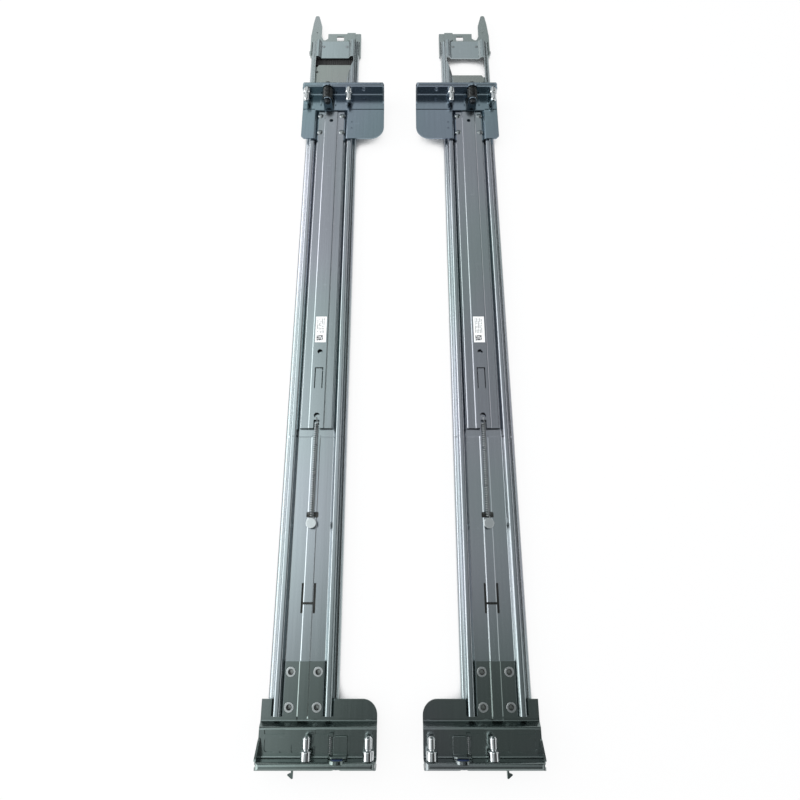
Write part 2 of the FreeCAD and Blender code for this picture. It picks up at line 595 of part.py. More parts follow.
def make_rear_bracket():
    body = new_body("rear_bracket")
    # hat section: flanks over the ridges, centre down in the recess under the channel
    flank_height = size.tray_top - size.bracket_sheet / 2
    centre_height = tongue_low + size.bracket_sheet / 2
    bend = 1.4
    offset = size.outer_sheet / 2 + size.slide_gap + size.bracket_sheet / 2
    half_turn = math.tan(math.radians(INNER_SLOPE / 2))
    centre_run = size.web_half + (size.ridge_bend - offset - bend) * half_turn
    ramp = step(flank_height - centre_height, bend, INNER_SLOPE)
    reach = walk(0.0, 0.0, 0.0, [("run", centre_run)] + ramp)[-1][5][0]
    down = step(centre_height - flank_height, bend, INNER_SLOPE)
    moves = [("run", size.bracket_outer - reach)] + down + [("run", 2 * centre_run)] + ramp
    moves += [("run", size.bracket_inner - reach)]
    hat = sheet_section(walk(-size.bracket_outer, flank_height, 0.0, moves), size.bracket_sheet)
    pad(body, "XZ_Plane", "-Sizes.rear_plate_front", hat, "Sizes.rear_crease - Sizes.rear_plate_front")
    # tray, lip and folded hem
    wall_y = size.rear_lip_face - size.lip_depth + size.bracket_sheet / 2
    start = size.rear_crease - 1.0
    moves = [("run", wall_y - size.lip_bend - start)] + lip_moves(flank_height, 1.0)
    section = sheet_section(walk(start, flank_height, 0.0, moves), size.bracket_sheet)
    pad(body, "YZ_Plane", "-Sizes.bracket_outer", section, "Sizes.bracket_outer + Sizes.bracket_inner")
    # wall that closes the step between the low centre and the tray
    wall = outline([(-centre_run, tongue_low), (centre_run, tongue_low), (reach - 0.9, size.tray_top - 0.4),
                    (-reach + 0.9, size.tray_top - 0.4)])
    pad(body, "XZ_Plane", "-(Sizes.rear_crease - Sizes.bracket_sheet)", wall, "Sizes.bracket_sheet")
    # rounded corner towards the other rail, small one on the outer side
    radius = size.rear_corner
    centre_x = size.bracket_inner - radius
    centre_y = size.rear_plate_front + radius
    diagonal = radius * math.sqrt(0.5)
    edge_y = size.rear_plate_front - 1
    corner = [Part.Arc(Vector(centre_x, size.rear_plate_front, 0), Vector(centre_x + diagonal, centre_y - diagonal, 0),
                       Vector(size.bracket_inner, centre_y, 0)),
              Part.LineSegment(Vector(size.bracket_inner, centre_y, 0), Vector(size.bracket_inner + 1, centre_y, 0)),
              Part.LineSegment(Vector(size.bracket_inner + 1, centre_y, 0), Vector(size.bracket_inner + 1, edge_y, 0)),
              Part.LineSegment(Vector(size.bracket_inner + 1, edge_y, 0), Vector(centre_x, edge_y, 0)),
              Part.LineSegment(Vector(centre_x, edge_y, 0), Vector(centre_x, size.rear_plate_front, 0))]
    cut(body, "XY_Plane", "0", corner, "Sizes.tray_top + 1")
    outer = outline([(-size.bracket_outer, size.rear_plate_front + 3), (-size.bracket_outer + 3, size.rear_plate_front),
                     (-size.bracket_outer + 3, edge_y), (-size.bracket_outer - 1, edge_y),
                     (-size.bracket_outer - 1, size.rear_plate_front + 3)])
    cut(body, "XY_Plane", "0", outer, "Sizes.tray_top + 1")
    # rivet holes, the channel's hole, dimples and the window under the button's spring
    holes = circle(0.0, channel_tail_hole_y, 2.0)
    for x in (-size.rear_rivet_x, size.rear_rivet_x):
        for y in rear_rivet_ys:
            holes += circle(x, y, size.rivet_shank + size.fit_gap)
    cut(body, "XY_Plane", "0", holes, "Sizes.tray_top + 1")
    # crease pressed across the flanks where the tray begins
    for x0, x1 in ((-size.bracket_outer - 1, -reach), (reach, size.bracket_inner + 1)):
        crease = rectangle(x0, x1, size.rear_crease - 0.6, size.rear_crease + 0.5)
        cut(body, "XY_Plane", "Sizes.tray_top - 0.7", crease, "2")
    dimples = circle(ridge_foot - 1.2, size.rear_plate_front + 13.0, 1.0)
    dimples += circle(ridge_foot - 1.2, size.rear_plate_front + 21.0, 1.0)
    cut(body, "XY_Plane", "Sizes.tray_top - 0.5", dimples, "1")
    # spring seat bent up from the tray
    seat_rear = size.rear_lip_face - size.seat_distance
    seat = outline([(rear_button_x - 4.5, size.tray_top - 0.4), (rear_button_x + 4.5, size.tray_top - 0.4),
                    (rear_button_x + 4.5, size.stud_height + 4.5, 4.0),
                    (rear_button_x - 4.5, size.stud_height + 4.5, 4.0)])
    pad(body, "XZ_Plane", "-(%g - Sizes.bracket_sheet)" % seat_rear, seat, "Sizes.bracket_sheet")
    cut(body, "XZ_Plane", "-(%g - 3)" % seat_rear, circle(rear_button_x, size.stud_height, size.stem_radius + size.fit_gap), "4")
    # openings of the lip: button, finger relief, tool hole
    lip_start = "-(Sizes.rear_lip_face - Sizes.lip_depth - 0.8)"
    add_button_seat(body, rear_button_x, lip_start, "Sizes.lip_depth + 1.8",
                    "-(Sizes.rear_lip_face - Sizes.lip_depth - 0.9)", "2.1")
    cut(body, "XZ_Plane", lip_start, circle(size.rear_stud_x + size.rack_unit * 1.357, size.stud_height, 2.5),
        "Sizes.lip_depth + 1.8")
    round_lip_corners(body, lip_start, "Sizes.lip_depth + 1.8")
    # gussets at both ends
    wall_in = size.rear_lip_face - size.lip_depth + 0.5
    gusset = outline([(wall_in, size.tray_top - 0.4), (wall_in - size.gusset_reach, size.tray_top - 0.4),
                      (wall_in - size.gusset_reach + 1.5, size.tray_top + 2.0, 1.5),
                      (size.rear_lip_face - size.lip_depth - 1.6, lip_top - 2.0, 2.0), (wall_in, lip_top - 1.6)])
    pad(body, "YZ_Plane", "Sizes.bracket_inner - Sizes.bracket_sheet", gusset, "Sizes.bracket_sheet")
    # low guide ribs beside the spring
    for x in (rear_button_x - size.guide_offset, rear_button_x + size.guide_offset):
        rib = rectangle(x - 0.6, x + 0.6, size.rear_lip_face - 20.0, size.rear_lip_face - 8.0, 0.55)
        pad(body, "XY_Plane", "Sizes.tray_top - 0.3", rib, "1.3")


# ---------------------------------------------------------------- rack studs
def stud_profile(reverse):
    """Half section of a rack stud along its axis: square-hole base, neck, shank and tip."""
    base_length, neck_length, neck_radius, tip = 6.4, 1.0, 2.2, 1.4
    stations = [(0.0, 0.0), (0.0, size.stud_base_radius), (base_length - 0.8, size.stud_base_radius),
                (base_length, size.stud_base_radius - 0.8), (base_length, neck_radius),
                (base_length + neck_length, neck_radius), (base_length + neck_length, size.stud_shank_radius),
                (size.stud_length - tip, size.stud_shank_radius),
                (size.stud_length, size.stud_shank_radius - tip), (size.stud_length, 0.0)]
    sign = -1.0 if reverse else 1.0
    return [(sign * along, radius) for along, radius in stations]


def make_studs(node, first_x, lip_y, reverse):
    pieces = []
    for k in range(2):
        profile = [Vector(0, along, radius) for along, radius in stud_profile(reverse)]
        edges = [Part.makeLine(profile[i], profile[(i + 1) % len(profile)]) for i in range(len(profile))]
        stud = doc.addObject("Part::Feature", "stud")
        stud.Shape = Part.Face(Part.Wire(edges)).revolve(Vector(0, 0, 0), Vector(0, 1, 0), 360)
        stud.Placement.Base = Vector(first_x + k * size.rack_unit, lip_y, size.stud_height)
        pieces.append(stud)
    group(pieces, node)


# ---------------------------------------------------------------- sprung release buttons
def make_front_button():
    """Moulded cap in the lip's hole; it is clipped on the slider's upright end."""
    start = Vector(front_button_x, 0.6, size.stud_height)
    group([cylinder("Sizes.button_radius", "Sizes.lip_depth + 0.4", start, Vector(0, 1, 0))], "front_button")


def make_front_slider():
    """Flat slide behind the cap, held between two ribs, with a notch for its side spring."""
    body = new_body("front_slider")
    low = size.tray_top + size.slide_gap
    cap_rear = size.lip_depth + 1.0
    half = size.slider_half
    top = size.stud_height + 1.5
    upright = outline([(front_button_x - half, low), (front_button_x + half, low), (front_button_x + half, top - 2.0, 1.0),
                       (front_button_x + half - 2.5, top, 1.0), (front_button_x - half + 2.5, top, 1.0),
                       (front_button_x - half, top - 2.0, 1.0)])
    pad(body, "XZ_Plane", "-%g" % cap_rear, upright, "Sizes.slider_sheet")
    plate = rectangle(front_button_x - half + 2 * size.small_coil_radius + 0.3, front_button_x + half, cap_rear,
                      size.seat_distance - 0.4, 1.0)
    pad(body, "XY_Plane", "%g" % low, plate, "Sizes.slider_sheet")


def make_rear_button():
    """Round button in the rear lip; its stem runs through the spring seat and the ring behind it."""
    towards = Vector(0, -1, 0)
    lip_y = size.rear_lip_face
    cap = cylinder("Sizes.button_radius", "Sizes.lip_depth + 2", Vector(rear_button_x, lip_y + 1.0, size.stud_height), towards)
    stem = cylinder("Sizes.stem_radius", "Sizes.seat_distance - Sizes.lip_depth + Sizes.bracket_sheet + 2",
                    Vector(rear_button_x, lip_y - size.lip_depth - 0.4, size.stud_height), towards)
    ring_y = lip_y - size.seat_distance - size.bracket_sheet - size.slide_gap
    ring = cylinder("Sizes.stem_radius + 1.2", "1.2", Vector(rear_button_x, ring_y, size.stud_height), towards)
    place_left(fuse([cap, stem, ring]), "rear_button")


def make_coil_tube(node, x, y, height, radius, wire, length, towards):
    """Envelope of a compression spring."""
    tube = doc.addObject("Part::Cut", "tube")
    tube.Base = cylinder("%g" % radius, "%g" % length, Vector(x, y, height), towards)
    tube.Tool = cylinder("%g" % (radius - wire), "%g" % length, Vector(x, y, height), towards)
    place_left(tube, node)


def make_button_springs():
    front_y = size.lip_depth + 1.0 + size.slider_sheet
    make_coil_tube("front_button_spring", front_button_x - size.slider_half + size.small_coil_radius, front_y + 0.1,
                   size.tray_top + size.slide_gap + size.small_coil_radius, size.small_coil_radius, 0.5,
                   size.seat_distance - front_y - 0.2, Vector(0, 1, 0))
    rear_y = size.rear_lip_face - size.lip_depth - 1.0
    make_coil_tube("rear_button_spring", rear_button_x, rear_y - 0.1, size.stud_height, size.coil_radius, size.coil_wire,
                   size.seat_distance - size.lip_depth - 1.2, Vector(0, -1, 0))


# ---------------------------------------------------------------- rear extension channel
def make_extension_channel():
    body = new_body("extension_channel")
    middle = channel_top - size.channel_sheet / 2
    bend = 0.9
    rib_step = step(-size.channel_rib_rise, 0.8, 30.0)
    rib_start = size.channel_rib_half - 0.65
    rib_end = walk(rib_start, 0.0, 0.0, rib_step)[-1][5][0]
    wall_x = size.channel_half - size.channel_sheet / 2
    moves = [("run", rib_start)] + rib_step + [("run", wall_x - bend - rib_end), ("bend", bend, -90.0),
                                               ("run", middle - bend - tongue_low)]
    section = symmetric_section(moves, middle + size.channel_rib_rise, size.channel_sheet)
    pad(body, "XZ_Plane", "-Sizes.channel_front", section, "Sizes.channel_rear - Sizes.channel_front")
    # the skirts stop short of the rear bracket, where the channel lies flat in its recess
    for sign in (-1, 1):
        skirt = rectangle(sign * (size.channel_half - 1.2), sign * (size.channel_half + 1),
                          size.skirt_rear, size.channel_rear + 1)
        cut(body, "XY_Plane", "Sizes.web_top", skirt, "Sizes.ridge_rise + 2")
        inner = rectangle(sign * (size.channel_half - size.channel_sheet - 0.9), sign * (size.channel_half - 1.1),
                          size.skirt_rear, size.channel_rear + 1)
        cut(body, "XY_Plane", "Sizes.web_top", inner, "%g - Sizes.web_top" % tongue_top)
    # spring notch, hook hole, lanced tab, holes
    notch = rectangle(-2.6, 2.6, size.channel_front - 1, size.channel_front + 7.5, 0.6)
    holes = circle(0.0, size.hook_hole_y, size.hook_hole_radius)
    holes += circle(0.0, label_front - 9.0, 2.35) + circle(0.0, channel_tail_hole_y, 2.0)
    for x in (-size.rear_rivet_x, size.rear_rivet_x):
        for y in rear_rivet_ys:
            holes += circle(x, y, size.rivet_shank + size.fit_gap)
    front, rear, half, slot = size.channel_front + 36.7, size.channel_front + 56.5, 3.8, 1.0
    tab = outline([(-half, front), (-half + slot, front), (-half + slot, rear - slot), (half - slot, rear - slot),
                   (half - slot, front), (half, front), (half, rear), (-half, rear)])
    cut(body, "XY_Plane", "0", notch + holes + tab, "Sizes.tray_top + 2")


def make_label():
    piece = doc.addObject("Part::Box", "label_plate")
    piece.setExpression("Length", "10")
    piece.setExpression("Width", "26")
    piece.setExpression("Height", "0.2")
    plate = doc.addObject("Part::Compound", "label_group")
    piece.Placement.Base = Vector(-5.0, label_front, channel_rib_top)
    plate.Links = [piece]
    place_left(plate, "label")


# ---------------------------------------------------------------- rivets, post, striker
def make_front_rivets():
    pieces = []
    for x in (-size.front_rivet_x, size.front_rivet_x):
        for y in front_rivet_ys:
            tail = cylinder("Sizes.rivet_shank + 0.9", "0.3", Vector(x, y, web_under - 0.3))
            shank = cylinder("Sizes.rivet_shank", "Sizes.outer_sheet + Sizes.bracket_sheet", Vector(x, y, web_under))
            head = cylinder("Sizes.rivet_head", "0.95", Vector(x, y, size.web_top + size.bracket_sheet - 0.8))
            rivet = doc.addObject("Part::Cut", "rivet")
            rivet.Base = fuse([tail, shank, head])
            rivet.Tool = cylinder("Sizes.rivet_shank - 0.3", "5", Vector(x, y, web_under - 1))
            pieces.append(rivet)
    group(pieces, "front_rivets")


def domed_rivet(x, y, low, top, shank_radius, head_radius, crown):
    """Rivet whose head is a slice of a ball: head_radius wide and crown high."""
    ball_radius = (head_radius ** 2 + crown ** 2) / (2 * crown)
    shank = cylinder("%g" % shank_radius, "%g" % (top - low + crown / 2), Vector(x, y, low))
    dome = doc.addObject("Part::Sphere", "dome")
    dome.setExpression("Radius", "%g" % ball_radius)
    dome.Angle1 = math.degrees(math.asin((ball_radius - crown) / ball_radius))
    dome.Placement.Base = Vector(x, y, top + crown - ball_radius + 0.02)
    return fuse([shank, dome])


def make_rear_rivets():
    pieces = []
    for x in (-size.rear_rivet_x, size.rear_rivet_x):
        for y in rear_rivet_ys:
            pieces.append(domed_rivet(x, y, tongue_low, channel_top, size.rivet_shank, 3.0, 1.1))
    group(pieces, "rear_rivets")


def make_spring_post():
    foot = cylinder("Sizes.post_radius + 1", "0.6", Vector(0, size.post_y, rib_top))
    stem_low = rib_top + 0.3
    stem = cylinder("Sizes.post_radius", "2 * Sizes.coil_outer + 0.9", Vector(0, size.post_y, stem_low))
    head = cylinder("4.25", "1", Vector(0, size.post_y, stem_low + 2 * size.coil_outer + 0.8))
    place_left(fuse([foot, stem, head]), "spring_post")


def make_latch_striker():
    """Hooked striker that stands out of the front lip for the server's own catch."""
    body = new_body("front_striker")
    x = striker_x
    reach = -size.striker_reach
    hook = outline([(x - 0.7, size.lip_depth), (x - 0.7, reach + 3.8, 0.4), (x - 3.6, reach + 2.6, 0.4),
                    (x - 0.2, reach, 0.5), (x + 0.9, reach, 0.4), (x + 0.9, size.lip_depth)])
    pad(body, "XY_Plane", "Sizes.tray_top + Sizes.lip_rise / 2 - 1", hook, "2")


# ---------------------------------------------------------------- tension spring
def make_tension_spring():
    loop = doc.addObject("Part::Torus", "loop")
    loop.setExpression("Radius1", "Sizes.post_radius + Sizes.spring_wire + 0.1")
    loop.setExpression("Radius2", "Sizes.spring_wire")
    loop.Placement.Base = Vector(0, size.post_y, spring_height)
    along = Vector(0, 1, 0)
    lead_start = size.post_y + size.post_radius + size.spring_wire
    lead = cylinder("0.85 * Sizes.spring_wire", "3.5", Vector(0, lead_start, spring_height), along)
    coil_front = size.post_y + 5.5
    coil = cylinder("Sizes.coil_outer", "Sizes.spring_rear - %g" % coil_front, Vector(0, coil_front, spring_height), along)
    hook_height = channel_rib_top + size.spring_wire + 0.2
    reach = cylinder("Sizes.spring_wire", "Sizes.hook_hole_y - Sizes.spring_rear + 1 + 1.4 * Sizes.spring_wire",
                     Vector(0, size.spring_rear - 1, hook_height), along)
    drop = cylinder("0.9 * Sizes.spring_wire", "3", Vector(0, size.hook_hole_y, hook_height - 3.0))
    place_left(fuse([loop, lead, coil, reach, drop]), "tension_spring")


# ---------------------------------------------------------------- middle and inner members
def race_grooves(body, xs, front, length):
    """Shallow round grooves that the balls run in, along the whole member."""
    for x in xs:
        cut(body, "XZ_Plane", "-(%s - 1)" % front, circle(x, race_height, race_radius), "%s + 2" % length)


def make_middle_member():
    body = new_body("middle_member")
    height = size.middle_web_top - size.middle_sheet / 2
    wall_x = middle_half - size.middle_sheet / 2
    moves = [("run", wall_x - 1.2), ("bend", 1.2, -90.0), ("run", height - 1.2 - size.middle_edge)]
    section = symmetric_section(moves, height, size.middle_sheet)
    length = "Sizes.middle_rear - Sizes.middle_front"
    pad(body, "XZ_Plane", "-Sizes.middle_front", section, length)
    race_grooves(body, (-outer_race_x, -inner_race_x, inner_race_x, outer_race_x), "Sizes.middle_front", length)
    rear = size.middle_rear
    corners = []
    for sign in (-1, 1):
        corners += outline([(sign * (middle_half - 5), rear + 1), (sign * (middle_half - 5), rear),
                            (sign * (middle_half - 3.4), rear - 3), (sign * (middle_half + 1), rear - 3),
                            (sign * (middle_half + 1), rear + 1)])
        corners += circle(sign * (middle_half - 3.5), rear - 10.5, 1.3)
    cut(body, "XY_Plane", "Sizes.middle_edge - 1", corners, "Sizes.middle_web_top + 1")


def make_inner_member():
    body = new_body("inner_member")
    height = size.inner_web_low + size.inner_sheet / 2
    wall_x = inner_half - size.inner_sheet / 2
    moves = [("run", wall_x - 1.0), ("bend", 1.0, 90.0), ("run", size.inner_edge - height - 1.0)]
    section = symmetric_section(moves, height, size.inner_sheet)
    length = "Sizes.inner_rear - Sizes.inner_front"
    pad(body, "XZ_Plane", "-Sizes.inner_front", section, length)
    race_grooves(body, (-inner_race_x, inner_race_x), "Sizes.inner_front", length)
    slots = []
    for y in slot_ys:
        slots += outline([(inner_half + 1, y - 5), (inner_half + 1, y + 5), (10.5, y + 5, 0.8), (10.5, y + 18, 3.0),
                          (4.0, y + 18, 3.0), (4.0, y - 5, 3.0)])
    slots += rectangle(-7.0, 7.0, lever_y + 24, lever_y + 44, 1.5)
    cut(body, "XY_Plane", "0", slots, "Sizes.inner_edge + 1")


def make_lock_lever():
    """Sprung lever inside the inner member whose finger pad shows in the member's window."""
    body = new_body("lock_lever")
    arm_low = inner_web_top + size.slide_gap
    arm = outline([(-4.2, lever_y - 10, 2.0), (4.2, lever_y - 10, 2.0), (4.8, lever_y, 2.0), (4.8, lever_y + 46, 2.0),
                   (-4.8, lever_y + 46, 2.0), (-4.8, lever_y, 2.0)])
    pad(body, "XY_Plane", "%g" % arm_low, arm, "1.4")
    finger = rectangle(-3.6, 3.6, lever_y + 26, lever_y + 42, 2.0)
    pad(body, "XY_Plane", "Sizes.inner_web_low + 0.2", finger, "%g - Sizes.inner_web_low" % (arm_low + 0.2))
    cut(body, "XY_Plane", "0", circle(0.0, lever_y, 1.8 + size.fit_gap), "Sizes.inner_edge")


def make_lever_pin():
    foot_height = size.slide_gap
    foot = cylinder("2.8", "%g" % foot_height, Vector(0, lever_y, inner_web_top))
    stem = cylinder("1.8", "2", Vector(0, lever_y, inner_web_top))
    head = cylinder("2.8", "0.5", Vector(0, lever_y, inner_web_top + foot_height + 1.4 + 0.1))
    place_left(fuse([foot, stem, head]), "lever_pin")


# ---------------------------------------------------------------- ball cages
def cage_ball_ys():
    span = size.cage_rear - size.cage_front
    count = int(span // size.ball_pitch)
    first = (size.cage_front + size.cage_rear) / 2 - (count - 1) * size.ball_pitch / 2
    return [first + k * size.ball_pitch for k in range(count)]


def make_cage(node, race_x):
    """Two ball strips, one on each side, with a round pocket for every ball."""
    strips = []
    for sign in (-1, 1):
        strip = doc.addObject("Part::Box", "strip")
        strip.setExpression("Length", "Sizes.cage_strip")
        strip.setExpression("Width", "Sizes.cage_rear - Sizes.cage_front")
        strip.setExpression("Height", "Sizes.cage_high - Sizes.cage_low")
        strip.Placement.Base = Vector(sign * race_x - size.cage_strip / 2, size.cage_front, size.cage_low)
        holes = []
        for y in cage_ball_ys():
            base = Vector(sign * race_x - size.cage_strip, y, race_height)
            holes.append(cylinder("Sizes.ball_radius + Sizes.fit_gap", "2 * Sizes.cage_strip", base, Vector(1, 0, 0)))
        pierced = doc.addObject("Part::Cut", "pierced")
        pierced.Base = strip
        pierced.Tool = fuse(holes)
        strips.append(pierced)
    group(strips, node)


def make_balls(node, race_x):
    balls = []
    for sign in (-1, 1):
        for y in cage_ball_ys():
            ball = doc.addObject("Part::Sphere", "ball")
            ball.setExpression("Radius", "Sizes.ball_radius")
            ball.Placement.Base = Vector(sign * race_x, y, race_height)
            balls.append(ball)
    group(balls, node)


# ---------------------------------------------------------------- tail of the rail
def make_cable_arm_bracket():
    """Bracket at the tail: a plate under the web that widens behind it, a cheek outside each side
    wall and the long tab that a cable arm plugs onto."""
    body = new_body("cable_arm_bracket")
    side = size.slide_width / 2 - size.outer_sheet - size.slide_gap - 0.6
    cheek_in = size.slide_width / 2 + size.slide_gap
    cheek_out = cheek_in + size.bracket_sheet
    front = size.tail_window_rear + 4.0
    step_y = size.web_rear + size.slide_gap
    rear = size.outer_rear
    tip = size.tail_end
    plate = outline([(-side, front), (side, front), (side, step_y), (cheek_out, step_y), (cheek_out, rear, 1.0),
                     (-9.0, rear), (-9.0, rear - 7.0), (-13.5, rear - 11.0, 2.0), (-16.6, rear - 4.0, 3.0),
                     (-16.6, tip - 16.0, 3.0), (-20.6, tip, 2.2), (-24.6, tip, 2.0), (-26.6, tip - 12.0, 3.0),
                     (-cheek_out, rear - 4.0, 3.0), (-cheek_out, step_y), (-side, step_y)])
    pad(body, "XY_Plane", "Sizes.web_top - Sizes.outer_sheet - Sizes.bracket_sheet", plate, "Sizes.bracket_sheet")
    # cheeks outside the rail's side walls
    for x0, x1 in ((-cheek_out, -cheek_in), (cheek_in, cheek_out)):
        cheek = rectangle(x0, x1, front + 3.0, rear - 1.5)
        pad(body, "XY_Plane", "1", cheek, "Sizes.web_top - Sizes.outer_sheet - 1")
    # pressed boss beside the square hole
    boss_out = cheek_in - 4.6
    boss = outline([(boss_out - 9.6, rear, 0.5), (boss_out - 9.6, rear - 12.0, 3.0), (boss_out, rear - 12.0, 3.0),
                    (boss_out, rear, 0.5)])
    pad(body, "XY_Plane", "Sizes.web_top - Sizes.outer_sheet - 0.3", boss, "Sizes.outer_sheet + 0.5")
    openings = circle(-tail_rivet_x, tail_rivet_y, TAIL_RIVET_RADIUS + size.fit_gap)
    openings += circle(tail_rivet_x, tail_rivet_y, TAIL_RIVET_RADIUS + size.fit_gap)
    openings += rectangle(TAIL_SQUARE_X - 4.0, TAIL_SQUARE_X + 4.0, tail_square_y - 3.4, tail_square_y + 3.4, 0.6)
    openings += circle(-21.8, rear + 2.0, 0.9)
    cut(body, "XY_Plane", "0", openings, "Sizes.web_top + 2")


def make_cable_arm_rivets():
    low = web_under - size.bracket_sheet - 0.4
    pieces = []
    for x in (-tail_rivet_x, tail_rivet_x):
        pieces.append(domed_rivet(x, tail_rivet_y, low, size.web_top, TAIL_RIVET_RADIUS, 1.9, 0.18))
    cheek_out = size.slide_width / 2 + size.slide_gap + size.bracket_sheet
    pieces.append(cylinder("2.4", "0.9", Vector(-cheek_out, size.web_rear - 14.0, race_height + 1.2), Vector(-1, 0, 0)))
    group(pieces, "cable_arm_rivets")


def make_rear_bumpers():
    """Soft blocks inside the side walls that stop the closed middle member."""
    pieces = []
    wall = size.slide_width / 2 - size.outer_sheet
    for sign in (-1, 1):
        block = doc.addObject("Part::Box", "bumper")
        block.setExpression("Length", "4.2")
        block.setExpression("Width", "7")
        block.setExpression("Height", "2.8")
        left_edge = wall - 0.1 - 4.2 if sign > 0 else -wall + 0.1
        block.Placement.Base = Vector(left_edge, size.middle_rear + 2 * size.slide_gap, race_height)
        pieces.append(block)
    group(pieces, "rear_bumpers")


# ---------------------------------------------------------------- build the left rail
make_outer_member()
make_front_bracket()
make_studs("front_studs", size.front_stud_x, size.lip_depth, False)
make_latch_striker()
make_front_button()
make_front_slider()
make_front_rivets()
make_spring_post()
make_extension_channel()
make_rear_bracket()
make_studs("rear_studs", size.rear_stud_x, size.rear_lip_face - size.lip_depth, True)
make_rear_button()
make_button_springs()
make_rear_rivets()
make_label()
make_tension_spring()
make_middle_member()
make_inner_member()
make_lock_lever()
make_lever_pin()
make_cage("outer_ball_cage", outer_race_x)
make_balls("outer_balls", outer_race_x)
make_cage("inner_ball_cage", inner_race_x)
make_balls("inner_balls", inner_race_x)
make_cable_arm_bracket()
make_cable_arm_rivets()
make_rear_bumpers()
doc.recompute()

# ---------------------------------------------------------------- mirror it for the right rail
SLIDE_SHARE = {
    "middle_member": 1.0, "inner_member": 1.0, "lock_lever": 1.0, "lever_pin": 1.0,
    "inner_ball_cage": 1.0, "inner_balls": 1.0, "outer_ball_cage": 0.5, "outer_balls": 0.5,
}
finished = []
for node in NODE_ORDER:
    finished.append(left_rail[node])
    twin = doc.addObject("Part::Mirroring", "mirrored_" + node)
    twin.Source = left_rail[node]
    twin.Normal = Vector(1, 0, 0)
    twin.Label = "right_" + node
    share = SLIDE_SHARE.get(node, 0.0)
    if share:
        twin.setExpression(".Placement.Base.y", "-Sizes.right_slide_out * %g" % share)
    finished.append(twin)
doc.recompute()

# ---------------------------------------------------------------- check and write
for item in doc.Objects:
    if "Invalid" in item.State or "Error" in item.State:
        raise RuntimeError("%s did not compute: %s" % (item.Label, item.State))
os.makedirs("parts", exist_ok=True)
for piece in finished:
    if piece.Shape.isNull() or not piece.Shape.isValid():
        raise RuntimeError("%s has no valid shape" % piece.Label)
for piece in finished:
    piece.Shape.exportStep("parts/%s.step" % piece.Label)
    print("%-28s %d solids %9.1f mm3" % (piece.Label, len(piece.Shape.Solids), piece.Shape.Volume))
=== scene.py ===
# %% [markdown]
# # A pair of telescopic server rails
# The solids of the rails come ready made, in metres, from a packed frame. This lesson dresses them:
# it gives every piece its metal, plastic or paper, rounds the sheet edges so that they catch the
# light, winds the springs, fills the bearings with balls and sets up a small studio. Nothing is
# moved, because each piece already lies where it belongs.

import json
import math

import bmesh
import bpy
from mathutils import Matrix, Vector


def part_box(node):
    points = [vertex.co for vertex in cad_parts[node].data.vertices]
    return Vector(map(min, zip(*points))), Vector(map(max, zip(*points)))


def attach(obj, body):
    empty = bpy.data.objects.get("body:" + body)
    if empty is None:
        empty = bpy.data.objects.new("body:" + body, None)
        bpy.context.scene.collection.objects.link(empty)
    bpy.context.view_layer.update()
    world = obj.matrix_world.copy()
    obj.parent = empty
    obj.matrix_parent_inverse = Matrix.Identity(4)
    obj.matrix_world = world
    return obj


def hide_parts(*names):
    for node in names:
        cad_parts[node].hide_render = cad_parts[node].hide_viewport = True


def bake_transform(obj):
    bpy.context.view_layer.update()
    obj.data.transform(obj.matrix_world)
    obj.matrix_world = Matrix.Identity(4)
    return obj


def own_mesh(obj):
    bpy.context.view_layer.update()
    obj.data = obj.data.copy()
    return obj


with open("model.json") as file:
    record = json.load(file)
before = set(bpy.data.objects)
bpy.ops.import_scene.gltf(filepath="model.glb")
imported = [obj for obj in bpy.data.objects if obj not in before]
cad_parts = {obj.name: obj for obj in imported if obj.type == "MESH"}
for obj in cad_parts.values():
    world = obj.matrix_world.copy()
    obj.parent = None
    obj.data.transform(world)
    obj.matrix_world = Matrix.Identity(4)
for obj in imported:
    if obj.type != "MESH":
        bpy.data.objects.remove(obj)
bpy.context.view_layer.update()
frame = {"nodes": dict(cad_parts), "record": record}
NODES = frame["nodes"]
RECORD = frame["record"]
BODY_OF = {node: body for body, nodes in RECORD["behaviour"]["bodies"].items() for node in nodes}
SLOT_OF = {part["node"]: part["material_slot"] for part in RECORD["subparts"]}
SIDES = ("left", "right")
MM = 0.001

# %% [markdown]
# ## Writing shader maths as Python
# The finishes on these rails depend on place: streaks follow the strip, grease lies under the
# openings, rivet bores are dark. Such a rule could be drawn by hand as a web of Math nodes. Here a
# socket is wrapped in a small class instead, so that it can be added, multiplied and compared like
# a number. Each operator adds its own Math node, and a material reads as a formula.

# %% A socket that can be used in an expression
class Wire:
    """One output socket of a material's node tree."""

    def __init__(self, paint, socket):
        self.paint = paint
        self.socket = socket

    def _math(self, operation, first, second=0.0, clamp=False):
        settings = {"operation": operation, "use_clamp": clamp}
        return self.paint.node("ShaderNodeMath", settings, [first, second])

    def __add__(self, other):
        return self._math("ADD", self, other)

    __radd__ = __add__

    def __sub__(self, other):
        return self._math("SUBTRACT", self, other)

    def __rsub__(self, other):
        return self._math("SUBTRACT", other, self)

    def __mul__(self, other):
        return self._math("MULTIPLY", self, other)

    __rmul__ = __mul__

    def __gt__(self, other):
        return self._math("GREATER_THAN", self, other)

    def __lt__(self, other):
        return self._math("LESS_THAN", self, other)

    def floored(self):
        return self._math("FLOOR", self)

    def clamped(self):
        return self._math("ADD", self, 0.0, clamp=True)

    def size(self):
        return self._math("ABSOLUTE", self)

    def at_most(self, limit):
        return self._math("MINIMUM", self, limit)

    def fade(self, low, high):
        """0 below low, 1 above high, smooth between."""
        settings = {"interpolation_type": "SMOOTHSTEP"}
        return self.paint.node("ShaderNodeMapRange", settings,
                               {"Value": self, "From Min": low, "From Max": high})


print("a wire can be added, multiplied, compared, floored, clamped and faded")


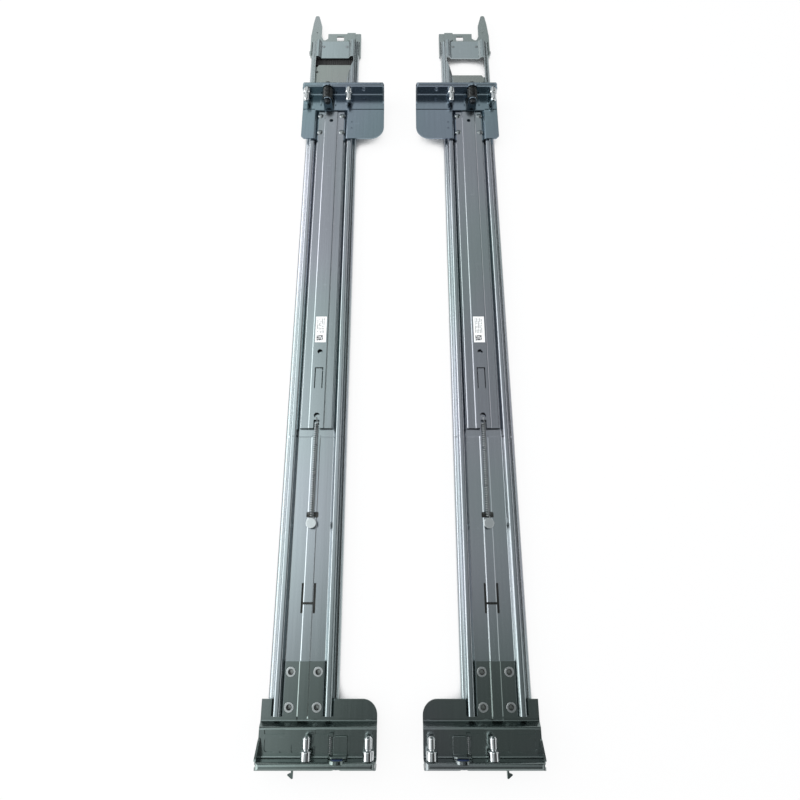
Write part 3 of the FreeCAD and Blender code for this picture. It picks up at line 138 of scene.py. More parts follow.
# %% A material under construction
# A Mix node has sockets for every kind of value. These are the ones that it uses for colours.
MIX_FACTOR, MIX_FIRST, MIX_SECOND, MIX_RESULT = 0, 6, 7, 2


class Paint:
    """A material's node tree, written as calls."""

    def __init__(self, name):
        self.material = bpy.data.materials.new(name)
        self.material.use_nodes = True
        self.tree = self.material.node_tree
        self.shader = self.tree.nodes["Principled BSDF"]
        self.place = self.node("ShaderNodeTexCoord", out="Object")

    def node(self, kind, settings=None, inputs=None, out=0):
        """Add a node: its settings first, then the values or links of its sockets."""
        made = self.tree.nodes.new(kind)
        for key, value in (settings or {}).items():
            setattr(made, key, value)
        items = inputs.items() if isinstance(inputs, dict) else enumerate(inputs or [])
        for key, value in items:
            self.feed(made.inputs[key], value)
        return Wire(self, made.outputs[out])

    def feed(self, socket, value):
        if isinstance(value, Wire):
            self.tree.links.new(value.socket, socket)
        else:
            socket.default_value = value

    def noise(self, scale, stretch=(1, 1, 1), detail=3.0, rough=0.55):
        """Noise over the piece, with each axis stretched on its own."""
        mapped = self.node("ShaderNodeMapping", None, {"Vector": self.place, "Scale": stretch})
        values = {"Vector": mapped, "Scale": scale, "Detail": detail, "Roughness": rough}
        return self.node("ShaderNodeTexNoise", None, values, out="Fac")

    def blend(self, factor, first, second):
        """Mix of two colours, each of them a wire or red, green and blue."""
        first, second = [(*c, 1.0) if isinstance(c, tuple) else c for c in (first, second)]
        values = {MIX_FACTOR: factor, MIX_FIRST: first, MIX_SECOND: second}
        return self.node("ShaderNodeMix", {"data_type": "RGBA"}, values, out=MIX_RESULT)

    def axis(self, index):
        """One coordinate of the place, in metres: 0 is across, 1 is along the rails."""
        return self.node("ShaderNodeSeparateXYZ", None, {"Vector": self.place}, out=index)

    def bump(self, height, strength, distance):
        values = {"Height": height, "Strength": strength, "Distance": distance}
        return self.node("ShaderNodeBump", None, values)

    def finish(self, **sockets):
        """Feed the shader's own sockets; names are written with underscores."""
        for name, value in sockets.items():
            self.feed(self.shader.inputs[name.replace("_", " ")], value)
        return self.material


def shaded(colour, share):
    """A lighter or darker version of a colour."""
    return tuple(min(1.0, share * c) for c in colour)


print("paint methods:", ", ".join(name for name in vars(Paint) if not name.startswith("_")))

# %% [markdown]
# ## Zinc-plated sheet
# The rails are cold-rolled steel with a thin coat of zinc. Zinc is a bluish metal, never quite even:
# the rolls leave long faint streaks along the strip, the bath leaves soft clouds that lean to green
# or violet, and handling adds fine scratches. One flat grey would look like plastic, and a picture
# of sheet metal would repeat itself over 750 mm. So all of them are noises stretched along different
# axes. They feed the colour and the roughness, and the sheet glitters unevenly as the real one does.

# %% The zinc family
GREEN_ZINC = (0.93, 1.02, 0.99)
VIOLET_ZINC = (1.04, 0.99, 1.06)
UNEVENNESS = 0.22
SCRATCH_SHARE = 0.14
STREAK_DEPTH = 0.003 * MM
# Near black for painted shade, used where a slot should look shaded.
SLOT_SHADE_TONE = (0.035, 0.035, 0.033)


def zinc(name, tone, roughness, shade_mask=None, form=None):
    """Plated sheet whose colour is about tone, a linear grey-blue.

    Its fourth argument is a mask of painted shade, which turns the sheet near black where it covers it, and
    form adds a height in metres to its relief."""
    paint = Paint(name)
    clouds = paint.noise(9.0, detail=2.0)
    streaks = paint.noise(60.0, stretch=(9.0, 0.2, 9.0), detail=4.0)
    scratches = paint.noise(130.0, stretch=(1.0, 4.0, 1.0), detail=2.0)
    drift = paint.noise(5.0, stretch=(2.0, 1.0, 2.0), detail=1.0)
    greenish = tuple(c * g for c, g in zip(tone, GREEN_ZINC))
    violet = tuple(c * v for c, v in zip(tone, VIOLET_ZINC))
    colour = paint.blend(drift.fade(0.35, 0.65), greenish, violet)
    shade = (0.5 + (clouds - 0.5) * 0.7 + (streaks - 0.5) * 1.1).clamped()
    colour = paint.blend(shade * UNEVENNESS, colour, shaded(tone, 1.35))
    colour = paint.blend((1.0 - shade) * UNEVENNESS, colour, shaded(tone, 0.55))
    colour = paint.blend(scratches.fade(0.68, 0.76) * SCRATCH_SHARE, colour, shaded(tone, 1.8))
    relief = streaks * STREAK_DEPTH
    if shade_mask:
        # Painted shade: the sheet turns near black where the mask covers it.
        colour = paint.blend(shade_mask(paint), colour, SLOT_SHADE_TONE)
    if form:
        relief = relief + form(paint)
    return paint.finish(
        Base_Color=colour,
        Metallic=1.0,
        Roughness=(roughness + (clouds - 0.5) * 0.06 + (streaks - 0.5) * 0.08).clamped(),
        Normal=paint.bump(relief, 1.0, 1.0),
    )


print("unevenness of the zinc:", UNEVENNESS)

# %% [markdown]
# ## Crowned shoulders and pressed flanks
# Rolling leaves the outer shoulders of a rail slightly crowned, and the press leaves gentle flanks
# on its rib, while the solid has flats there. The difference is a few hundredths of a millimetre: too
# little to see in the outline, but enough to bend a reflection. So it is a height in the finish and
# not in the mesh. A fall with the square of the distance from the ridge crowns the shoulder, and a
# straight fall over the flank's width turns the flank.

# %% Heights that bend the reflections
def middle_across(node):
    low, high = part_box(node)
    return (low.x + high.x) / 2


RAIL_MIDDLE = middle_across("right_outer_member")
SHOULDER_START = 22.6 * MM
SHOULDER_TILT = 0.21
SHOULDER_RADIUS = 20.0 * MM
FLANK_SLOPE = 0.42
FLANK_WIDTH = 0.8 * MM
WEB_FLANK_START = 3.2 * MM
TONGUE_FLANK_START = 3.5 * MM
COVER_FADE = 2 * MM
RIB_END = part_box("left_extension_channel")[0].y - 6 * MM
CREASE_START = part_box("left_front_bracket")[0].y + 23.4 * MM
CREASE_DEPTH = 5.0 * MM
CREASE_SLOPE = 0.42


def from_middle(paint):
    """Distance of a point from the centre line of its rail."""
    return (paint.axis(0).size() - RAIL_MIDDLE).size()


def shoulders(paint):
    """Height of a shoulder's crown, which falls away from the flat sheet."""
    beyond = (from_middle(paint) - SHOULDER_START).clamped()
    return beyond * -SHOULDER_TILT + beyond * beyond * (-0.5 / SHOULDER_RADIUS)


def rib_flanks(paint, start, covered):
    """Height that makes the flanks of the pressed rib gentler, where covered is 1."""
    into = (from_middle(paint) - start).clamped().at_most(FLANK_WIDTH)
    return into * covered * FLANK_SLOPE


def rail_form(paint):
    """The rib ends where the rear channel begins."""
    covered = (RIB_END - paint.axis(1)).fade(0.0, COVER_FADE)
    return shoulders(paint) + rib_flanks(paint, WEB_FLANK_START, covered)


def bracket_form(paint):
    """The bracket's crease is steeper in its middle than a plain bend."""
    along = paint.axis(1) - CREASE_START
    behind = along.fade(CREASE_DEPTH, CREASE_DEPTH + COVER_FADE)
    crease = along.clamped().at_most(CREASE_DEPTH) * -CREASE_SLOPE
    return crease + rib_flanks(paint, TONGUE_FLANK_START, behind)


print("centre line at", round(RAIL_MIDDLE / MM, 2), "mm, rib ends at", round(RIB_END / MM, 2), "mm")

# %% [markdown]
# ## Painted shade on the middle slide
# The openings in the rail's web look nearly black, because little light reaches the middle slide beneath
# them.
# That shade is painted onto the slide as a nearly black, soft-edged patch, and noise pushes its edges about.
# It stays on that patch, so the rest of the slide keeps its plain zinc when it is drawn forward.

# %% The painted shade patch
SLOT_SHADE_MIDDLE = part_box("left_spring_post")[0].y - 42 * MM
SLOT_SHADE_SIDE = (7 * MM, 10 * MM)
SLOT_SHADE_END = (55 * MM, 62 * MM)
RAGGED_SIDE, RAGGED_END = 6 * MM, 20 * MM


def painted_slot_shade(paint):
    """How much of the sheet the painted shade covers, from 0 to 1."""
    # Painted shade: noise makes the patch of slot shade ragged at its edges.
    edge_noise = paint.noise(45.0, detail=3.0)
    beside = from_middle(paint) + (edge_noise - 0.5) * RAGGED_SIDE
    beyond = (paint.axis(1) - SLOT_SHADE_MIDDLE).size() + (edge_noise - 0.5) * RAGGED_END
    patch = (1.0 - beside.fade(*SLOT_SHADE_SIDE)) * (1.0 - beyond.fade(*SLOT_SHADE_END))
    return patch * (0.82 + edge_noise * 0.18)


print("grease about", round(SLOT_SHADE_MIDDLE / MM, 1), "mm along the rail")

# %% [markdown]
# ## The sheet metals
# Each kind of sheet has its own tone: the rail's web is the lightest, the brackets are darker, and the front
# bracket is the darkest.
# The front bracket's dark tone is painted shade, standing in for the dark surroundings that its zinc
# reflects.
# They are one function with other values, so they look like one family.

# %% All the zinc finishes
SLIDE_TONE = (0.35, 0.36, 0.35)
FINISH = {
    "rail_zinc": zinc("rail zinc", (0.375, 0.41, 0.43), 0.20, form=rail_form),
    "bracket_zinc": zinc("bracket zinc", (0.25, 0.31, 0.35), 0.20),
    "channel_zinc": zinc("channel zinc", (0.34, 0.37, 0.39), 0.22),
    "slide_zinc": zinc("slide zinc", SLIDE_TONE, 0.28),
    "cage_steel": zinc("cage steel", (0.34, 0.34, 0.33), 0.34),
}
# Painted shade: the front bracket, slider and striker are darkened to stand in for the dark surroundings
# that they reflect.
FRONT_PAINTED_SHADE_ZINC = zinc("painted shade bracket zinc", (0.20, 0.23, 0.225), 0.19, form=bracket_form)
# Painted shade: the middle slide turns near black under the web's openings, where shade falls.
SLOT_SHADED_ZINC = zinc("slide zinc with painted slot shade", SLIDE_TONE, 0.28, shade_mask=painted_slot_shade)
TAIL_ZINC = zinc("tail zinc", (0.35, 0.375, 0.375), 0.26)
print("zinc finishes:", ", ".join(FINISH))

# %% [markdown]
# ## Turned steel
# The studs, posts, rivets and balls are turned or ground, so their marks are rings round the axis. The
# studs lie along Y, and a sine of the Y coordinate draws the rings as a very shallow bump. Cutting
# them in the mesh would cost thousands of faces for something that only the highlight shows.

# %% Turned parts
RING_WAVE = 9000.0  # radians per metre, a ring every 0.7 mm


def turned(name, tone, roughness):
    paint = Paint(name)
    rings = paint.node("ShaderNodeMath", {"operation": "SINE"}, [paint.axis(1) * RING_WAVE])
    soft = paint.noise(90.0)
    return paint.finish(
        Base_Color=paint.blend(soft, shaded(tone, 0.8), shaded(tone, 1.15)),
        Metallic=1.0,
        Roughness=(roughness + (soft - 0.5) * 0.10).clamped(),
        Normal=paint.bump(rings, 0.04, 0.1 * MM),
    )


FINISH["stud_chrome"] = turned("turned studs", (0.60, 0.63, 0.64), 0.10)
FINISH["rivet_steel"] = turned("rivet steel", (0.30, 0.33, 0.34), 0.22)
FINISH["ball_chrome"] = turned("ball steel", (0.62, 0.63, 0.64), 0.08)
POST_STEEL = turned("post steel", (0.58, 0.62, 0.63), 0.16)
BLACK_STEM = turned("blackened stem", (0.05, 0.055, 0.06), 0.32)
print("finishes so far:", len(FINISH))

# %% [markdown]
# ## Tubular rivets
# The front bracket is held by four tubular rivets with flared heads, plated bright.
# The dark in their bores is painted shade: the colour turns near black over each bore.
# The four are one piece at the corners of a rectangle, so the distance from the nearest axis follows from
# the piece's own box, and one mask paints the shade into all four bores.

# %% Rivets with painted shade in the bores
RIVET_TONE = (0.60, 0.64, 0.64)
RIVET_BORE = 2.05 * MM
RIVET_HEAD = 3.65 * MM
BORE_SHADE_TONE = (0.01, 0.01, 0.01)
BORE_SHADE_SHARE = 0.94


def rivets_with_painted_bore_shade(name, node):
    """Plated heads with painted shade in their bores, for four rivets at the corners of the node's box."""
    low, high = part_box(node)
    paint = Paint(name)
    soft = paint.noise(120.0)
    from_axis = []
    for index in (0, 1):
        middle, half = (low[index] + high[index]) / 2, (high[index] - low[index]) / 2
        from_axis.append((paint.axis(index) - middle).size() - (half - RIVET_HEAD))
    across, along = from_axis
    # Painted shade: a near-black disc over each bore.
    bore_shade = (across * across + along * along < (1.04 * RIVET_BORE) ** 2) * BORE_SHADE_SHARE
    plated = paint.blend(soft, shaded(RIVET_TONE, 0.75), shaded(RIVET_TONE, 1.25))
    return paint.finish(
        Base_Color=paint.blend(bore_shade, plated, BORE_SHADE_TONE),
        Metallic=1.0,
        Roughness=(0.24 + (soft - 0.5) * 0.10).clamped(),
        Normal=paint.bump(soft, 0.05, 0.1 * MM),
    )


for side in SIDES:
    FINISH[f"{side}_front_rivets"] = rivets_with_painted_bore_shade(f"{side} front rivets", f"{side}_front_rivets")
print("finishes so far:", len(FINISH))

# %% [markdown]
# ## Drawn wire, plastic and rubber
# Spring wire is drawn through a die and keeps a patchy patina. The buttons and levers are moulded and
# show the fine spark-eroded skin of their mould, and the soft stops are plain black rubber. All of
# them are small, so a noise or two each is enough.

# %% Drawn wire
def drawn_wire(name, tone):
    paint = Paint(name)
    patina = paint.noise(260.0, detail=3.0)
    return paint.finish(
        Base_Color=paint.blend(patina, shaded(tone, 0.6), shaded(tone, 1.5)),
        Metallic=1.0,
        Roughness=(0.22 + patina * 0.16).clamped(),
        Normal=paint.bump(patina, 0.10, 0.1 * MM),
    )


FINISH["spring_steel"] = drawn_wire("spring wire", (0.33, 0.35, 0.355))
DARK_WIRE = drawn_wire("dark spring wire", (0.075, 0.08, 0.08))
print("wires:", FINISH["spring_steel"].name, "and", DARK_WIRE.name)


# %% Moulded plastic and rubber
def moulded(name, tone, roughness):
    paint = Paint(name)
    skin = paint.noise(1500.0, detail=2.0)
    clouds = paint.noise(70.0)
    return paint.finish(
        Base_Color=paint.blend(clouds, shaded(tone, 0.8), shaded(tone, 1.2)),
        Roughness=(roughness + (skin - 0.5) * 0.2).clamped(),
        Normal=paint.bump(skin, 0.15, 0.12 * MM),
    )


FINISH["blue_plastic"] = moulded("blue plastic", (0.008, 0.024, 0.085), 0.36)
FINISH["black_rubber"] = moulded("black rubber", (0.02, 0.02, 0.02), 0.75)
print("finishes so far:", len(FINISH))

# %% [markdown]
# ## The stock label
# Each channel has a plain white sticker with a block of random squares and a few ruled bars, as stock
# labels have; they hold no words. The squares come from white noise read on rounded coordinates, so
# each cell has one value. The bars are ruled with the fraction of a coordinate, which repeats, and
# noise breaks them into pieces. All places are shares of the label's own box.

# %% Sticker
LABEL_CELL = 0.70 * MM
LABEL_COLUMN = 1.45 * MM
PAPER_CLEAN, PAPER_HANDLED = (0.88, 0.90, 0.90), (0.80, 0.81, 0.80)
INK = (0.05, 0.05, 0.055)
BAR_START = 0.14


def within(value, low, high):
    """1 between the two limits, else 0."""
    return (value > low) * (value < high)


def sticker(name, low, high):
    """Paper whose print is placed from the label's own box."""
    paint = Paint(name)
    across, along = paint.axis(0) - low.x, paint.axis(1) - low.y
    width, length = high.x - low.x, high.y - low.y
    fibre = paint.noise(900.0, detail=4.0)
    handled = paint.noise(110.0)
    cells = paint.node("ShaderNodeCombineXYZ", None, {"X": (across * (1 / LABEL_CELL)).floored(),
                                                      "Y": (along * (1 / LABEL_CELL)).floored()})
    dots = paint.node("ShaderNodeTexWhiteNoise", {"noise_dimensions": "2D"}, {"Vector": cells}) > 0.42
    dots = dots * within(across, 0.13 * width, 0.72 * width) * within(along, 0.07 * length, 0.27 * length)
    column = (across - BAR_START * width) * (1 / LABEL_COLUMN)
    broken = paint.noise(700.0, stretch=(0.6, 1.0, 0.6), detail=1.0) > 0.43
    bars = (column - column.floored() < 0.5) * broken
    bars = bars * within(across, BAR_START * width, 0.84 * width)
    bars = bars * within(along, 0.36 * length, 0.93 * length)
    paper = paint.blend(handled.fade(0.35, 0.75), PAPER_CLEAN, PAPER_HANDLED)
    return paint.finish(
        Base_Color=paint.blend((dots + bars * 0.7).clamped(), paper, INK),
        Roughness=(0.5 + (fibre - 0.5) * 0.25).clamped(),
        Normal=paint.bump(fibre, 0.1, 0.1 * MM),
    )


for side in SIDES:
    FINISH[f"{side}_label"] = sticker(f"{side} sticker", *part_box(f"{side}_label"))
print("finishes in all:", len(FINISH))

# %% [markdown]
# ## Dressing the solids
# Most pieces take the finish of their material slot. A few differ from the rest of their slot, such
# as the darker front bracket or the blackened button, and those go by their own names. Every solid
# gets its finish here, also those that a finer copy replaces later.

# %% The finish of each node
# The front pieces take the zinc darkened with painted shade, and the middle member the zinc with a painted
# near-black patch of slot shade.
PART_FINISH = {
    "front_bracket": FRONT_PAINTED_SHADE_ZINC, "front_slider": FRONT_PAINTED_SHADE_ZINC, "front_striker": FRONT_PAINTED_SHADE_ZINC,
    "cable_arm_bracket": TAIL_ZINC, "middle_member": SLOT_SHADED_ZINC, "spring_post": POST_STEEL,
    "rear_button": BLACK_STEM, "rear_button_spring": DARK_WIRE,
}


def finish_of(node):
    """A node's own finish if it has one, then that of its part, then that of its slot."""
    part = node.split("_", 1)[1]
    return FINISH.get(node) or PART_FINISH.get(part) or FINISH[SLOT_OF[node]]


for node, thing in NODES.items():
    thing.data.materials.clear()
    thing.data.materials.append(finish_of(node))
print("dressed nodes:", len(NODES))

# %% [markdown]
# ## Rounded sheet edges
# Real sheet has no razor edges: shearing and plating leave a small round on each, and that round is
# what draws a bright line along a rail. A CAD node's mesh is loose triangles, so a copy is merged
# first, its flat triangles are joined into whole faces, and a Bevel modifier then rounds what turns
# by more than a bend's facet. Weighted normals then keep the flats flat and the rounds soft. Fillets
# in the solids would do the same, but they are slow and break when a size changes.

# %% Helpers for new pieces
def new_piece(name, data):
    """An object for a mesh, curve, lamp or camera, linked to the scene."""
    piece = bpy.data.objects.new(name, data)
    bpy.context.scene.collection.objects.link(piece)
    return piece


def stand_for(piece, node):
    """Give a new piece the finish and body of the node that it stands for, and hide the node."""
    piece.data.materials.clear()
    piece.data.materials.append(finish_of(node))
    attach(piece, BODY_OF[node])
    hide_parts(node)
    return piece


def settle(piece):
    """Apply a piece's modifiers, so that its mesh is final."""
    graph = bpy.context.evaluated_depsgraph_get()
    final = bpy.data.meshes.new_from_object(piece.evaluated_get(graph), preserve_all_data_layers=True,
                                            depsgraph=graph)
    piece.modifiers.clear()
    piece.data = final
    return piece


print("bodies to ride on:", len(set(BODY_OF.values())))

# %% Copies with rounded edges
MERGE_WITHIN = 0.002 * MM
FLAT_ANGLE = math.radians(0.6)
EDGE_ANGLE = math.radians(25)
EDGE_ROUND_MM = {
    "outer_member": 0.25, "extension_channel": 0.30, "front_bracket": 0.45, "rear_bracket": 0.35,
    "cable_arm_bracket": 0.30, "middle_member": 0.20, "inner_member": 0.20, "front_slider": 0.25,
    "front_striker": 0.25, "front_button": 0.60, "rear_button": 0.50, "front_rivets": 0.22,
    "rear_rivets": 0.15, "cable_arm_rivets": 0.12, "spring_post": 0.60, "front_studs": 0.30,
    "rear_studs": 0.30, "lock_lever": 0.30, "lever_pin": 0.15, "rear_bumpers": 0.50, "label": 0.04,
}


def merged_mesh(node):
    """The node's triangles, joined at their corners and into whole flat faces."""
    shape = bmesh.new()
    shape.from_mesh(NODES[node].data)
    bmesh.ops.remove_doubles(shape, verts=shape.verts, dist=MERGE_WITHIN)
    bmesh.ops.dissolve_limit(shape, angle_limit=FLAT_ANGLE, verts=shape.verts, edges=shape.edges)
    mesh = bpy.data.meshes.new("rounded_" + node)
    shape.to_mesh(mesh)
    shape.free()
    mesh.shade_smooth()
    mesh.set_sharp_from_angle(angle=EDGE_ANGLE)
    return mesh


def rounded_copy(node, width):
    piece = new_piece("rounded_" + node, merged_mesh(node))
    bevel = piece.modifiers.new("edges", "BEVEL")
    bevel.width = width
    bevel.segments = 2
    bevel.limit_method = "ANGLE"
    bevel.angle_limit = EDGE_ANGLE
    weighted = piece.modifiers.new("flat normals", "WEIGHTED_NORMAL")
    weighted.keep_sharp = True
    weighted.weight = 80
    return stand_for(settle(piece), node)


for side in SIDES:
    for part, width in EDGE_ROUND_MM.items():
        rounded_copy(f"{side}_{part}", width * MM)
print("rounded pieces:", len(EDGE_ROUND_MM) * len(SIDES))

# %% [markdown]
# ## A strip of painted shade
# The slides close against soft blocks at the tail.
# On the left rail the gap in the tail window behind the slides lies in shade, and a dark ribbed strip of
# black rubber stands in for that shade: it joins the blocks and closes the gap. The right rail has only the
# blocks, and its window stands open.
# The strip is one profile, repeated across the rail with every second copy a little lower, which makes the
# ribs.
# It could be a solid with an array of grooves, but rows of points need only a short loop.

# %% A ribbed strip of painted shade between the soft blocks
STRIP_RIBS = 18
STRIP_HALF = 21.25 * MM
STRIP_BEHIND = 3.2 * MM
GROOVE_DEPTH = 0.35 * MM
STRIP_ROUND = 0.3 * MM


def strip_profile(low, high, x, top):
    """Six corners of the strip's section at x, with its upper edges broken."""
    front, rear, bottom = low.y + 0.1 * MM, high.y + STRIP_BEHIND, low.z + 0.2 * MM
    return [(x, front, bottom), (x, front, top - STRIP_ROUND), (x, front + STRIP_ROUND, top),
            (x, rear - STRIP_ROUND, top), (x, rear, top - STRIP_ROUND), (x, rear, bottom)]


def skinned(name, rows):
    """A closed mesh through rows that have the same number of corners."""
    around = len(rows[0])
    corners = [corner for row in rows for corner in row]
    faces = [tuple(reversed(range(around))), tuple(range(len(corners) - around, len(corners)))]
    for start in range(0, len(corners) - around, around):
        for k in range(around):
            a, b = start + k, start + (k + 1) % around
            faces.append((a, b, b + around, a + around))
    mesh = bpy.data.meshes.new(name)
    mesh.from_pydata(corners, [], faces)
    shape = bmesh.new()
    shape.from_mesh(mesh)
    bmesh.ops.recalc_face_normals(shape, faces=shape.faces)
    shape.to_mesh(mesh)
    shape.free()
    return mesh


def shade_strip(side):
    low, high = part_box(f"{side}_rear_bumpers")
    middle, top = (low.x + high.x) / 2, high.z - 0.25 * MM
    rows = []
    for step in range(2 * STRIP_RIBS + 1):
        x = middle - STRIP_HALF + STRIP_HALF * step / STRIP_RIBS
        rows.append(strip_profile(low, high, x, top - GROOVE_DEPTH * (step % 2)))
    piece = new_piece(f"{side}_stop_strip", skinned(f"{side}_stop_strip", rows))
    # Painted shade: the black rubber strip stands where the tail gap has only shade.
    piece.data.materials.append(FINISH["black_rubber"])
    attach(piece, "rails")
    return piece


# Only the left rail gets the strip of painted shade.
print("faces of the stop strip:", len(shade_strip("left").data.polygons))

# %% [markdown]
# ## Building a node tree for geometry
# The springs and the ball rows repeat one shape by a rule, and that is what Geometry Nodes are for.
# Each tree has named inputs for its sizes and ends in Realize Instances and Set Material. Two helpers
# write a tree as calls, and a third sets its inputs on a piece and keeps the result as a plain mesh.

# %% Helpers for trees
def new_tree(name, inputs):
    """An empty Geometry Nodes tree with named inputs and one geometry in and out."""
    tree = bpy.data.node_groups.new(name, "GeometryNodeTree")
    tree.interface.new_socket("Geometry", in_out="INPUT", socket_type="NodeSocketGeometry")
    for label, kind in inputs.items():
        tree.interface.new_socket(label, in_out="INPUT", socket_type="NodeSocket" + kind)
    tree.interface.new_socket("Geometry", in_out="OUTPUT", socket_type="NodeSocketGeometry")
    return tree, tree.nodes.new("NodeGroupInput").outputs, tree.nodes.new("NodeGroupOutput")


def add_node(tree, kind, links=None, values=None):
    """A node of the tree with its linked sockets and plain values."""
    made = tree.nodes.new(kind)
    for key, value in (values or {}).items():
        made.inputs[key].default_value = value
    for key, source in (links or {}).items():
        tree.links.new(source, made.inputs[key])
    return made.outputs[0]


def joined(tree, *parts):
    """All parts in one geometry."""
    both = tree.nodes.new("GeometryNodeJoinGeometry")
    for part in parts:
        tree.links.new(part, both.inputs[0])
    return both.outputs[0]


def close_tree(tree, geometry, finish, result):
    """Realize Instances and Set Material, which every tree here ends in."""
    whole = add_node(tree, "GeometryNodeRealizeInstances", {"Geometry": geometry})
    coated = add_node(tree, "GeometryNodeSetMaterial", {"Geometry": whole, "Material": finish})
    tree.links.new(coated, result.inputs[0])
    return tree


print("helpers for trees: new_tree, add_node, joined, close_tree")


# %% Running a tree
def run_tree(name, thing, tree, **values):
    """Set a tree's named inputs on a piece, evaluate it and keep the mesh under a new name.

    The modifier knows its inputs by identifier, so the tree's interface is searched for the names."""
    modifier = thing.modifiers.new(tree.name, "NODES")
    modifier.node_group = tree
    for item in tree.interface.items_tree:
        key = item.name.replace(" ", "_")
        if item.in_out == "INPUT" and key in values:
            modifier[item.identifier] = values[key]
    graph = bpy.context.evaluated_depsgraph_get()
    made = new_piece(name, bpy.data.meshes.new_from_object(thing.evaluated_get(graph)))
    used = thing.data
    bpy.data.objects.remove(thing)
    (bpy.data.curves if isinstance(used, bpy.types.Curve) else bpy.data.meshes).remove(used)
    return made


print("helper for pieces:", run_tree.__name__)

# %% [markdown]
# ## Wound springs
# A spring is a spiral with a bent wire at each end. Geometry Nodes have a spiral primitive, so the
# tree only needs the turns, the radius and the length; the bent ends come in as a curve that the
# piece brings along. One round profile is then swept along all of it. A Screw modifier could wind the
# coil as well, but not with its ends in the same wire.

# %% The tree that winds a spring
def spring_tree():
    tree, given, result = new_tree("wound spring", {
        "Turns": "Float", "Coil Radius": "Float", "Wire Radius": "Float", "Length": "Float",
        "Start": "Vector", "Turn": "Vector", "Finish": "Material"})
    spiral = add_node(tree, "GeometryNodeCurveSpiral", {
        "Rotations": given["Turns"], "Start Radius": given["Coil Radius"],
        "End Radius": given["Coil Radius"], "Height": given["Length"]}, {"Resolution": 14})
    placed = add_node(tree, "GeometryNodeTransform", {
        "Geometry": spiral, "Translation": given["Start"], "Rotation": given["Turn"]})
    profile = add_node(tree, "GeometryNodeCurvePrimitiveCircle", {"Radius": given["Wire Radius"]},
                       {"Resolution": 8})
    wire = add_node(tree, "GeometryNodeCurveToMesh", {
        "Curve": joined(tree, given["Geometry"], placed), "Profile Curve": profile}, {"Fill Caps": True})
    smooth = add_node(tree, "GeometryNodeSetShadeSmooth", {"Geometry": wire})
    return close_tree(tree, smooth, given["Finish"], result)


WOUND = spring_tree()
print(WOUND.name, "has", len(WOUND.nodes), "nodes")


# %% Bent wire ends
def wire_curve(name, runs):
    """A curve object with one smooth line along each run of points."""
    curve = bpy.data.curves.new(name, "CURVE")
    curve.dimensions = "3D"
    for points in runs:
        spline = curve.splines.new("NURBS")
        spline.points.add(len(points) - 1)
        for knot, point in zip(spline.points, points):
            knot.co = (*point, 1.0)
        spline.order_u = 3
        spline.use_endpoint_u = True
        spline.resolution_u = 6
    return new_piece(name, curve)


BACKWARDS = (-math.pi / 2, 0.0, 0.0)
print("a spiral rises along Z, and turned", round(math.degrees(BACKWARDS[0])), "degrees it runs along Y")

# %% [markdown]
# ## The tension spring
# It pulls the rear extension forward. One end is a loop round the post, the other climbs onto the channel
# and hooks through a hole.
# The coil is one mesh and rides with the rails' body.

# %% Tension springs
TENSION_WIRE = 0.44 * MM
TENSION_COIL = 1.9 * MM - TENSION_WIRE
TENSION_TURNS = 42.0
COIL_FROM_POST = 5.5 * MM
COIL_FROM_END = 7.2 * MM
LOOP_START, LOOP_STEP, LOOP_POINTS = 60, 30, 11
WIRE_BEND = 1.2 * MM
HOLE_RADIUS = 2.6 * MM
HOOK_OVERSHOOT = 0.6 * MM  # the solid ends this far behind the middle of the hole
HOOK_DEPTH = 2.6 * MM


def post_loop(middle, post_y, radius, height):
    """Points of the loop round the post, which stays open towards the coil."""
    angles = [math.radians(LOOP_START + LOOP_STEP * step) for step in range(LOOP_POINTS)]
    return [(middle + radius * math.cos(a), post_y + radius * math.sin(a), height) for a in angles]


def tension_spring(side):
    node = f"{side}_tension_spring"
    low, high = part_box(node)
    post_low, post_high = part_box(f"{side}_spring_post")
    middle, post_y = (post_low.x + post_high.x) / 2, (post_low.y + post_high.y) / 2
    height = low.z + TENSION_COIL + TENSION_WIRE
    front, rear = post_y + COIL_FROM_POST, high.y - COIL_FROM_END
    lead_in = [(middle + TENSION_COIL, front, height),
               (middle + 0.6 * TENSION_COIL, front - WIRE_BEND, height)]
    lead_in += post_loop(middle, post_y, post_y - low.y - TENSION_WIRE, height)
    hook_y, hook_top = high.y - HOOK_OVERSHOOT - HOLE_RADIUS + TENSION_WIRE, high.z - TENSION_WIRE
    lead_out = [(middle + TENSION_COIL, rear, height),
                (middle + 0.5 * TENSION_COIL, rear + WIRE_BEND, height),
                (middle, rear + 2.2 * MM, hook_top), (middle, hook_y - WIRE_BEND, hook_top),
                (middle, hook_y, hook_top), (middle, hook_y, hook_top - WIRE_BEND),
                (middle, hook_y, hook_top - HOOK_DEPTH)]
    ends = wire_curve(f"{side}_tension_ends", [lead_in, lead_out])
    piece = run_tree(f"{side}_tension_coil", ends, WOUND, Turns=TENSION_TURNS, Coil_Radius=TENSION_COIL,
                     Wire_Radius=TENSION_WIRE, Length=rear - front, Start=(middle, front, height),
                     Turn=BACKWARDS, Finish=finish_of(node))
    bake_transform(piece)
    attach(piece, "rails")
    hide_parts(node)
    return piece


for side in SIDES:
    spring = tension_spring(side)
    print(spring.name, len(spring.data.polygons), "faces")

# %% [markdown]
# ## Compression springs of the buttons
# Each button has a spring between it and its seat. It is the same tree with fewer turns and no bent ends,
# and the piece rides with the body of the solid that it replaces.
# The tree still expects a curve to join, so it gets a stub that hides in the first turn.


